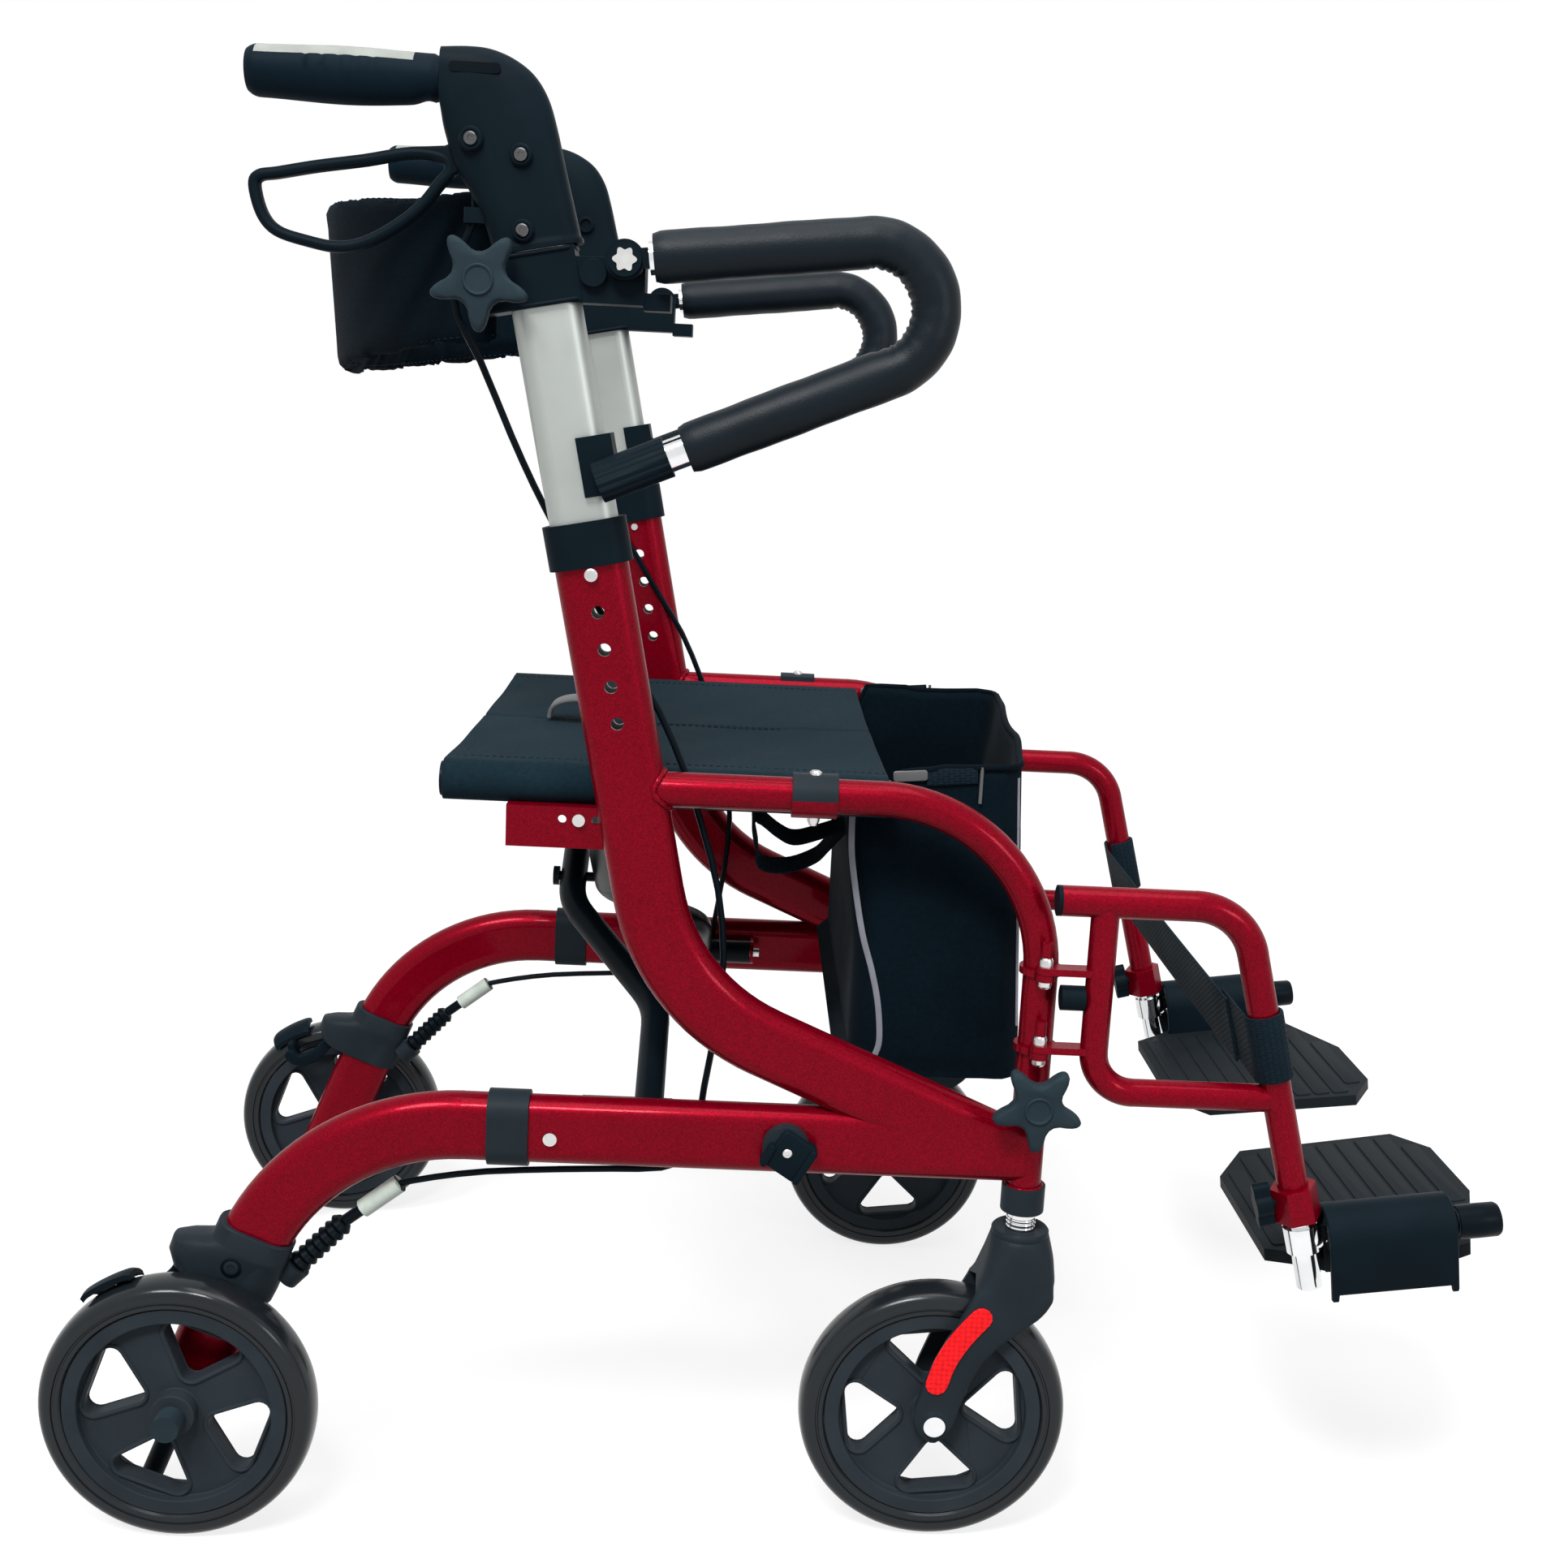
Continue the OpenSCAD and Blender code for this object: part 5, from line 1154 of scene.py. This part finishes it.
class CHAIR_OT_bag(bpy.types.Operator):
    """Storage bag: sagging shell, grey piping, rim and hanging straps"""

    bl_idname = "chair.bag"
    bl_label = "Storage bag"

    rear, front, wide, low, top = 42.0, 183.0, 198.0, 344.0, 580.0
    tape = ((44.5, 543), (45.4, 517), (49.5, 490), (56.9, 454), (65.7, 425), (71.7, 399), (74.3, 371),
            (70.6, 357))
    loop = ((46, 541), (43, 527), (20, 517), (4, 513), (-8, 518), (-22, 528), (-27, 525), (-24, 508),
            (-20, 493),
            (0, 491), (20, 499), (30, 509), (44, 526))

    def execute(self, context):
        bm = bmesh.new()
        rim = self.shell(bm)
        # The shell's cloth is a darker copy of the nylon, with painted shade.
        made = piece("bag_shell", bm, ["shade_painted_nylon"], "right_frame", ["storage_bag"], 60)
        wall = made.modifiers.new("thickness", "SOLIDIFY")
        wall.thickness = 0.0022
        wall.offset = -1.0
        parts = [made]
        bm = bmesh.new()
        sweep(bm, circle(2.6 * MM, 10), frames_on(rim, Vector((0.2, 0.1, 1)), True), closed=True)
        parts.append(piece("bag_rim", bm, ["dark_thread"], "right_frame", ()))
        bm = bmesh.new()
        for e in (-1, 1):
            line = smooth_path([at(x, e * (self.wide + 0.9), z) for x, z in self.tape], 6)
            sweep(bm, rounded(4.6 * MM, 1.6 * MM, 0.7 * MM, 2), frames_on(line, Vector((1, 0, 0))))
            line = [at(self.front - 2.2 + 15 * e * (1 - k / 29), e * (self.wide - 10), 574 - 190 * k / 24)
                    for k in range(25)]
            sweep(bm, rounded(4.2 * MM, 2.0 * MM, 0.8 * MM, 2), frames_on(line))
        parts.append(piece("bag_piping", bm, ["grey_piping"], "right_frame", ()))
        bm = bmesh.new()
        for e in (-1, 1):
            line = [at(97 + 37 * k / 12, e * (self.wide + 1.8), 573.6 + 3.4 * k / 12) for k in range(13)]
            strap(bm, line, Vector((0, 0, 1)), 13 * MM, 2.6 * MM)
            line = smooth_path([at(x, e * 150, z) for x, z in self.loop], 5)
            strap(bm, line, Vector((0, 1, 0.25)), 25 * MM, 1.8 * MM)
        parts.append(piece("bag_webbing", bm, ["webbing"], "right_frame", (), 40))
        bm = bmesh.new()
        for e in (-1, 1):
            frame = Matrix.Rotation(-0.09, 4, "Y") @ Matrix.Rotation(e * -math.pi / 2, 4, "X")
            frame.translation = at(85, e * (self.wide + 1.6), 574.4)
            slab(bm, rounded(25 * MM, 8 * MM, 2 * MM, 3), 2.6 * MM, frame, 0.8 * MM)
            line = [at(137, e * (self.wide + 2.4), 556 + 27 * k / 6) for k in range(7)]
            sweep(bm, circle(1.3 * MM, 8), frames_on(line))
        parts.append(piece("bag_buckles", bm, ["pull_grey"], "right_frame", ()))
        for made in parts:
            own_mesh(made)
        return {"FINISHED"}

    def shell(self, bm):
        """The sagging walls and floor; gives the line of the top edge."""
        levels = 26
        length, wide = (self.front - self.rear) * MM, 2 * self.wide * MM
        middle = (self.rear + self.front) / 2
        outline = self.finer(rounded(length, wide, 22 * MM, 5), 0.011)
        foot = self.low + 6
        frames = [Matrix.Translation(at(middle, 0, foot + (self.top - foot) * k / levels))
                  for k in range(levels + 1)]
        rings = sweep(bm, outline, frames, caps=False)
        floor = bm.faces.new(rings[0])
        bmesh.ops.inset_region(bm, faces=[floor], thickness=0.03, use_even_offset=True)
        bmesh.ops.translate(bm, vec=(0, 0, -6 * MM), verts=floor.verts)
        run = [0.0]
        for a, b in zip(outline, outline[1:]):
            run.append(run[-1] + math.dist(a, b))
        where = {vert: (u, vert.co.z) for ring in rings for u, vert in zip(run, ring)}
        for vert in bm.verts:
            where.setdefault(vert, (vert.co.x, vert.co.y))
        for k, ring in enumerate(rings):
            for vert in ring:
                vert.co = self.sagged(vert.co, k / levels)
        bmesh.ops.recalc_face_normals(bm, faces=bm.faces)
        if sum((f.normal.dot(f.calc_center_median() - at(middle, 0, 450)) for f in bm.faces)) < 0:
            bmesh.ops.reverse_faces(bm, faces=bm.faces)
        cloth_map(bm, where)
        return [vert.co.copy() for vert in rings[-1]]

    def sagged(self, place, t):
        """Where a point of the plain box ends up: walls bulge, the rear one leans, the rim is not level."""
        x, y, z = place.x / MM + MID_X, place.y / MM, place.z / MM
        share = (x - self.rear) / (self.front - self.rear)
        bulge = math.sin(math.pi * min(1, t * 1.05)) ** 0.8
        if abs(y) < self.wide - 20:
            ripple = 3.0 * bulge * math.sin(y * 0.016 + 0.6) + 1.6 * math.sin(z * 0.05 + y * 0.03)
            x += ripple * (share > 0.5)
        if abs(y) > self.wide - 4:
            ripple = 1.6 * math.sin(z * 0.035 + x * 0.05) + 0.9 * math.sin(z * 0.07 - x * 0.11)
            y += math.copysign(ripple - 2.0, y)
        x += share * 15 * t * y / self.wide
        x += (1 - share) * 10 * max(0.0, min(1.0, (530 - z) / 90))
        z += t ** 3 * (x - 110) * 0.1 * (0.5 - y / 396)
        z += t ** 3 * 2.0 * math.sin(y * 0.035 + x * 0.03) * (share > 0.5)
        if x < 76 and t > 0.9:
            z = min(z, 545 + (x - self.rear) * 0.2)
        return at(x, max(-199.0, min(199.0, y)), z)

    def finer(self, outline, step):
        made = []
        for a, b in zip(outline, outline[1:] + outline[:1]):
            n = max(1, round(math.dist(a, b) / step))
            made += [(a[0] + (b[0] - a[0]) * k / n, a[1] + (b[1] - a[1]) * k / n) for k in range(n)]
        return made


class CHAIR_OT_straps(bpy.types.Operator):
    """Calf strap: a wrap on each leg, the long run across and its overlap"""

    bl_idname = "chair.straps"
    bl_label = "Calf strap"

    def execute(self, context):
        for s, e in SIDES:
            bm = bmesh.new()
            run = self.half(bm, s == "_l")
            if e > 0:
                mirror(bm)
            made = piece("calf_band" + s, bm, ["webbing"], "hanger" + s, ["calf_strap" + s], 40)
            if s == "_l":
                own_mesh(made)
        return {"FINISHED"}

    def half(self, bm, long):
        z = 403.0
        centre = at(320 + math.tan(FOOT_LEAN) * (503 - z), PIN_Y, z)
        lean = Matrix.Rotation(-FOOT_LEAN, 3, "Y")
        r = 12.9
        gap = 2.9 if long else 0.0
        reach = 490.0 if long else 64.0
        turns = [math.radians(175 + 320 * k / 30) for k in range(30, -1, -1)]
        path = [(r * math.cos(a), r * math.sin(a)) for a in turns]
        back = -r - gap
        for k in range(1, 25):
            t = k / 24
            sag = 3.0 * math.sin(math.pi * t) if long else 0.0
            path.append((back - sag * 0.2, reach * t))
        points = [centre + lean @ Vector((u * MM, v * MM, 0)) for u, v in path]
        strap(bm, points, lean @ Vector((0, 0, 1)), 50 * MM, 2.4 * MM)
        return sum((b - a).length for a, b in zip(points, points[1:]))


class CHAIR_OT_wheels(bpy.types.Operator):
    """Solid tyres with a shoulder and groove, and lips round the rim openings"""

    bl_idname = "chair.wheels"
    bl_label = "Wheels"

    def execute(self, context):
        for kind, x, y, turn in (("rear", REAR_AXLE_X, REAR_Y, 70), ("front", FRONT_AXLE_X, FRONT_Y, 7)):
            wheel = kind + "_wheel"
            pair(kind + "_tread", lambda bm: self.tyre(bm, x, y), ["tyre_rubber"], wheel,
                 [kind + "_tyre"], 30)
            pair(kind + "_lips", lambda bm: self.lips(bm, x, y, turn), ["rim_plastic"], wheel, (), 40)
        return {"FINISHED"}

    def tyre(self, bm, x, y):
        side = [(81.2, 14.0), (82.5, 15.8), (85.5, 16.2), (86.0, 15.2), (87.2, 15.2), (87.8, 16.4),
                (91.5, 16.5),
                (94.5, 15.6), (97.0, 13.4), (98.6, 10.2), (99.6, 6.0), (100.0, 0.0)]
        profile = side + [(r, -h) for r, h in reversed(side[:-1])]
        lathe(bm, profile, at(x, y, AXLE_Z), (0, 1, 0), 96)

    def lips(self, bm, x, y, turn):
        far, splay = 60.0, math.radians(20)
        u, v = far * math.cos(splay), far * math.sin(splay)
        path = rounded_loop([(32.0, 0.0), (u, v), (u, -v)], 9.2)
        for k in range(4):
            a = math.radians(turn + 90 * k)
            c, s = math.cos(a), math.sin(a)
            for face in (-7.0, 7.0):
                points = [at(x + u * c - v * s, y + face, AXLE_Z + u * s + v * c) for u, v in path]
                sweep(bm, circle(1.7 * MM, 8), frames_on(points, closed=True), closed=True)


def rounded_loop(corners, r, n=6):
    """A closed path round circles of radius r at the corners of a convex shape, given anticlockwise."""
    made = []
    count = len(corners)
    area = sum(a[0] * b[1] - b[0] * a[1] for a, b in zip(corners, corners[1:] + corners[:1]))
    if area < 0:
        corners = corners[::-1]
    for i, c in enumerate(corners):
        before, after = corners[i - 1], corners[(i + 1) % count]
        a0 = math.atan2(c[1] - before[1], c[0] - before[0]) - math.pi / 2
        a1 = math.atan2(after[1] - c[1], after[0] - c[0]) - math.pi / 2
        while a1 < a0:
            a1 += 2 * math.pi
        for k in range(n + 1):
            a = a0 + (a1 - a0) * k / n
            made.append((c[0] + r * math.cos(a), c[1] + r * math.sin(a)))
    return made


def between(line, z):
    """The value at height z on a line of (height, value) points that runs downwards."""
    for (z0, v0), (z1, v1) in zip(line, line[1:]):
        if z1 <= z <= z0:
            return v0 + (v1 - v0) * (z0 - z) / (z0 - z1)
    return line[-1][1]


class CHAIR_OT_forks(bpy.types.Operator):
    """Caster forks with a rounded head, their reflectors and the spring on the stem; the brake shoes"""

    bl_idname = "chair.forks"
    bl_label = "Forks and shoes"

    front_edge = ((243.4, 204.5), (236, 206.5), (228, 208.3), (213, 209.5), (198, 207.5), (190, 203),
                  (184.5, 198),
                  (174, 185), (163, 171.5), (149.5, 160), (133, 151.5), (116, 146), (100, 142),
                  (92, 138.5), (87, 134),
                  (84, 128))
    rear_edge = ((243.4, 161.5), (236, 160), (228, 158.6), (215, 155), (200, 150), (184, 142),
                 (167, 133), (148, 124),
                 (129, 117), (112, 112), (100, 110.5), (92, 113.5), (87, 118), (84, 124))
    half_depth = ((243.4, 21.0), (241.5, 22.6), (238, 23.8), (231, 24.9), (222, 25.5), (84, 25.5))
    power = ((243.4, 2.0), (238, 2.2), (231, 2.8), (222, 3.6), (210, 5.0), (84, 5.5))
    inside = ((243.4, 0.0), (208, 0.0), (203, 18.5), (84, 18.5))
    lines = (front_edge, rear_edge, half_depth, power, inside)
    gleam = ((155.5, 186), (142.5, 169.5), (132, 151), (126, 132))

    def execute(self, context):
        pair("caster_legs", self.fork, ["slate_plastic", "reflector_red"], "caster", ["caster_fork"], 40)
        pair("stem_spring", self.spring, ["chrome"], "caster", angle=40)
        pair("brake_shoe", self.shoe, ["black_plastic"], "brake_arm", ["brake_arm"], 40)
        pair("brake_housing", self.housing, ["slate_plastic", "cable_sleeve"], "frame", angle=40)
        return {"FINISHED"}

    def flat(self, points, n):
        return smooth_path([Vector((x * MM, z * MM, 0)) for x, z in points], n)

    def fork(self, bm):
        levels = [243.4, 242.6, 241.5, 240] + [237 - 3.5 * k for k in range(43)] + [87, 85.6, 84.4]
        for e in (-1, 1):
            rows = []
            for z in levels:
                front, rear, deep, power, gap = (between(line, z) for line in self.lines)
                row = []
                for k in range(33):
                    c, s = math.cos(math.pi * k / 32), math.sin(math.pi * k / 32)
                    x = (front + rear) / 2 + (front - rear) / 2 * bowed(c, 2 / power)
                    row.append(at(x, FRONT_Y + e * (gap + (deep - gap) * s ** (2 / power)), z))
                rows.append(row)
            loft(bm, rows)
        collar = [(9.6, 242.0), (20.6, 242.0), (21.2, 243.0), (21.2, 246.6), (20.2, 247.8),
                  (11.4, 247.8), (9.6, 246.6)]
        lathe(bm, collar, at(CASTER_X, FRONT_Y, 0), (0, 0, 1), 48)
        slab(bm, band(self.flat(self.gleam, 6), 8.2 * MM), 1.7 * MM, facing(-271.2), 0.7 * MM, 1)

    def spring(self, bm):
        for z in (249.4, 252.4, 255.4):
            turn = [(r + 9.4, h) for r, h in circle(1.5, 8)]
            lathe(bm, turn, at(CASTER_X, FRONT_Y, z), (0, 0, 1), 32)

    def shoe(self, bm):
        """A curved tab that follows the crown of the tyre, and the link that carries it."""
        crown = ((-285, 105.8), (-280, 106.3), (-275, 106.0), (-270, 104.6), (-265.5, 101.9), (-262, 98.2))
        outline = [((r + 2.0) * MM, y * MM) for y, r in crown]
        outline += [((r - 2.0) * MM, y * MM) for y, r in reversed(crown)]
        frames = []
        for k in range(17):
            a = math.radians(108 + 22 * k / 16)
            spoke = Vector((math.cos(a), 0, math.sin(a)))
            frame = Matrix((spoke, Vector((0, 1, 0)), spoke.cross(Vector((0, 1, 0))))).transposed().to_4x4()
            frame.translation = at(REAR_AXLE_X, 0, AXLE_Z)
            shrink = 1.0 - 0.012 * max(0.0, 1.0 - min(k, 16 - k) / 2) ** 2
            frames.append(frame @ Matrix.Diagonal((shrink, 1, 1, 1)))
        sweep(bm, outline, frames)
        link = self.flat(((-429, 206), (-436, 188), (-450, 174.5), (-464, 170), (-472, 175)), 4)
        slab(bm, band(link, 5.5 * MM), 8 * MM, facing(-243), 1.5 * MM)
        foot = self.flat(((-470, 174), (-473, 182.5)), 4)
        slab(bm, band(foot, 3.5 * MM), 14 * MM, facing(-250), 1.2 * MM)

    def housing(self, bm):
        """The brake collar's cover: a ring on the leg that widens backwards over the pivot."""
        slope = math.radians(68)
        along = Vector((math.cos(slope), 0, math.sin(slope)))
        behind = Vector((-math.sin(slope), 0, math.cos(slope)))
        rows = []
        for run, back, ahead, thick in ((83, 44, 27, 16.5), (84.5, 47, 29.5, 18.0), (95, 54.5, 30.2, 18.2),
                                        (105, 55, 29.8, 18.4), (110, 47, 29.4, 18.6),
                                        (114.5, 36, 29.2, 18.7),
                                        (117.5, 30.5, 29.2, 18.7), (118.6, 29.6, 29.0, 18.2),
                                        (131, 29.4, 29.0, 18.2),
                                        (132, 28.4, 28.0, 17.4)):
            row = []
            for c, s in circle(1, 64):
                reach = (back + ahead) / 2 * bowed(c, 0.72) + (back - ahead) / 2
                place = at(REAR_AXLE_X, -HALF, AXLE_Z) + along * run * MM + behind * reach * MM
                row.append(place + Vector((0, thick * MM * bowed(s, 0.72), 0)))
            rows.append(row)
        loft(bm, rows)
        ring = [(5.9, 0.0), (7.6, 0.0), (7.6, 0.7), (7.0, 1.1), (5.9, 1.1)]
        face = at(-393, -264.2, 200)
        lathe(bm, ring, face, (0, 1, 0), 40, 1, -1)
        screw_head(bm, face, Vector((0, -1, 0)), 5.4 * MM, 0.9 * MM)


class CHAIR_OT_footplates(bpy.types.Operator):
    """Footplates: raised pads with grooves between, the hinge cover, the joint ball and the rubber stub"""

    bl_idname = "chair.footplates"
    bl_label = "Footplates"

    outline = ((20, 6), (108, 6), (126, 14), (158, 100), (158, 186), (136, 221), (6, 214), (-22, 168),
               (-22, 34),
               (0, 22))

    def execute(self, context):
        pair("plate_pads", self.pads, ["plate_plastic"], "footplate", (), 30)
        pair("plate_cover", self.cover, ["black_plastic"], "footplate", angle=40)
        pair("bar_joint", self.joint, ["chrome", "cable_sleeve"], "footrest_slide", angle=40)
        return {"FINISHED"}

    def tilt(self):
        made = Matrix.Rotation(-PLATE_TILT, 4, "Y")
        made.translation = at(BAR_ROOT[0], PIN_Y, BAR_ROOT[1])
        return made

    def span(self, u):
        """Where the plate's outline crosses a line across the plate."""
        hits = []
        for a, b in zip(self.outline, self.outline[1:] + self.outline[:1]):
            if (a[0] - u) * (b[0] - u) < 0:
                hits.append(a[1] + (b[1] - a[1]) * (u - a[0]) / (b[0] - a[0]))
        return min(hits), max(hits)

    def pads(self, bm):
        pitch, wide, edge = 16.6, 14.0, 7.0
        for k in range(10):
            u = -7.5 + pitch * k
            sides = [self.span(u + e * wide / 2) for e in (-1, 1)]
            low = max(34.0, max(s[0] for s in sides) + edge)
            high = min(s[1] for s in sides) - edge
            place = self.tilt() @ Matrix.Translation(Vector((u * MM, (low + high) / 2 * MM, -24.4 * MM)))
            slab(bm, rounded(wide * MM, (high - low) * MM, 3 * MM, 4), 1.5 * MM, place, 0.7 * MM)

    def cover(self, bm):
        turn = Matrix(((0, 0, 1), (1, 0, 0), (0, 1, 0))).to_4x4()
        rows = []
        for u, low, grow in ((12, -42, 0.97), (12.7, -43, 1.0), (16.5, -43, 1.0), (17.2, -38, 1.0),
                             (60, -38, 1.0),
                             (99, -38, 1.0), (99.6, -43, 1.0), (103.4, -43, 1.0), (104, -42, 0.97)):
            place = self.tilt() @ Matrix.Translation(Vector((u * MM, 0, 0))) @ turn
            out, inside = 23.0 * grow, 19.0
            loop = [(out, -25.0)]
            loop += circle(out, 48)[:25]
            loop += [(-out, low + 1.5), (-out + 1.2, low), (-inside, low)]
            loop += [(-v, w) for v, w in circle(inside, 48)[:25]]
            loop += [(inside, -25.0)]
            rows.append([place @ Vector((v * MM, w * MM, 0)) for v, w in loop])
        loft(bm, rows)

    def joint(self, bm):
        place = self.tilt()
        axis = place.to_3x3() @ Vector((1, 0, 0))
        ball = [(0.05, -4.0), (6.0, -4.0)]
        turns = [math.radians(a) for a in range(36, 150, 9)]
        ball += [(10.6 * math.sin(a), 5.0 - 10.6 * math.cos(a)) for a in turns]
        ball += [(5.0, 14.6), (5.0, 17.0), (0.05, 17.0)]
        ring = [(0.05, 104.5), (9.0, 104.5), (9.8, 105.4), (9.8, 109.0), (9.0, 110.0), (0.05, 110.0)]
        stub = [(0.05, 109.6), (11.6, 109.6), (12.4, 110.4), (12.6, 125.0), (12.4, 138.6), (11.2, 140.6),
                (8.0, 141.2),
                (0.05, 141.2)]
        for profile, finish in ((ball, 0), (ring, 0), (stub, 1)):
            lathe(bm, profile, place.translation, axis, 40, finish)


class CHAIR_OT_screws(bpy.types.Operator):
    """Socket screws, bright heads and nuts, the accessory clip and weld beads"""

    bl_idname = "chair.screws"
    bl_label = "Screws and welds"

    def execute(self, context):
        pair("socket_screws", self.screws, ["dark_steel"], "frame", (), 30)
        pair("bright_heads", self.bright, ["steel"], "frame", angle=30)
        pair("accessory_clip", self.clip, ["black_plastic"], "frame", angle=40)
        pair("weld_beads", self.welds, ["red_paint"], "frame", angle=60)
        return {"FINISHED"}

    def screws(self, bm):
        out = Vector((0, -1, 0))
        for x, z in ((-231.1, 992.5), (-198.6, 984), (-196.6, 937)):
            screw_head(bm, at(x, -HALF - 21.4, z), out, 4.2 * MM, 1.5 * MM)

    def bright(self, bm):
        out = Vector((0, -1, 0))
        screw_head(bm, at(-146.014, -HALF - 17, 715), out, 4.4 * MM, 1.6 * MM)
        star = []
        for k in range(60):
            a = 2 * math.pi * k / 60
            r = (7.0 + 1.1 * math.cos(6 * a)) * MM
            star.append((r * math.cos(a), r * math.sin(a)))
        slab(bm, star, 0.8 * MM, facing(-275.8, EYE_X, EYE_Z))
        for z, high in ((454, 9.0), (443.6, -6.0), (396, 9.0), (385.6, -6.0)):
            nut = [(0.05, 0.0), (5.0, 0.0), (5.0, 0.55), (4.2, 0.75), (2.6, 0.95), (0.05, 1.0)]
            lathe(bm, nut, at(CASTER_X, PIN_Y, z), (0, 0, 1), 24, rise=high)
        for z, high in ((581.4, 3.0), (552.0, -8.0)):
            cap = [(0.05, 0.0), (4.6, 0.0), (4.4, 0.5), (3.0, 0.9), (0.05, 1.0)]
            lathe(bm, cap, at(14, -HALF, z), (0, 0, 1), 24, rise=high)
        screw_head(bm, at(7, -272.8, 309), out, 3.4 * MM, 1.4 * MM)

    def clip(self, bm):
        """The accessory clip: a tilted plate with a jaw on each side."""
        place = facing(-262, 9.5, 306) @ Matrix.Rotation(math.radians(-33), 4, "Z")
        slab(bm, rounded(29 * MM, 31 * MM, 4 * MM, 3), 11 * MM, place, 2 * MM)
        for a, b in (((-10, 301), (-4, 313)), ((26, 309), (14, 288))):
            jaw = [Vector((x * MM, z * MM, 0)) for x, z in (a, b)]
            slab(bm, band(jaw, 2.6 * MM), 14 * MM, facing(-261), 1 * MM)

    def welds(self, bm):
        points = []
        for y, up in circle(13.0, 40):
            front = 11.5 + math.sqrt(14.0 ** 2 - y ** 2)
            points.append(at(post_x(RAIL_Z + up) + front / math.cos(POST_LEAN), -HALF + y, RAIL_Z + up))
        self.bead(bm, points, 2.3)
        self.bead(bm, [at(CASTER_X + u, -HALF + v, 282) for u, v in circle(13.2, 36)], 1.2)

    def bead(self, bm, points, r):
        rings = sweep(bm, circle(r * MM, 8), frames_on(points, Vector((0.3, 0.5, 0.8)), True), closed=True)
        for i, ring in enumerate(rings):
            lump = 1 + 0.22 * math.sin(i * 2.1) + 0.1 * math.sin(i * 0.9)
            for vert in ring:
                vert.co = points[i] + (vert.co - points[i]) * lump


STEPS = (CHAIR_OT_stage, CHAIR_OT_solids, CHAIR_OT_grips, CHAIR_OT_handles, CHAIR_OT_armrests,
         CHAIR_OT_seat, CHAIR_OT_backrest, CHAIR_OT_bag, CHAIR_OT_straps, CHAIR_OT_wheels, CHAIR_OT_forks,
         CHAIR_OT_footplates, CHAIR_OT_screws)


class CHAIR_PT_sidebar(bpy.types.Panel):
    """Lists the steps and the values of the chair"""

    bl_idname = "CHAIR_PT_sidebar"
    bl_label = "Transport chair"
    bl_space_type = "VIEW_3D"
    bl_region_type = "UI"
    bl_category = "Chair"

    def draw(self, context):
        for step in STEPS:
            self.layout.operator(step.bl_idname)
        for group in (context.scene.chair_finish, context.scene.chair_sizes):
            for name in group.__annotations__:
                self.layout.prop(group, name)


CLASSES = (ChairFinish, ChairSizes, *STEPS, CHAIR_PT_sidebar)


def register():
    for kind in CLASSES:
        bpy.utils.register_class(kind)
    bpy.types.Scene.chair_finish = bpy.props.PointerProperty(type=ChairFinish)
    bpy.types.Scene.chair_sizes = bpy.props.PointerProperty(type=ChairSizes)


def unregister():
    del bpy.types.Scene.chair_sizes
    del bpy.types.Scene.chair_finish
    for kind in reversed(CLASSES):
        bpy.utils.unregister_class(kind)


def main():
    register()
    for step in STEPS:
        family, name = step.bl_idname.split(".")
        getattr(getattr(bpy.ops, family), name)()


if __name__ == "__main__":
    main()
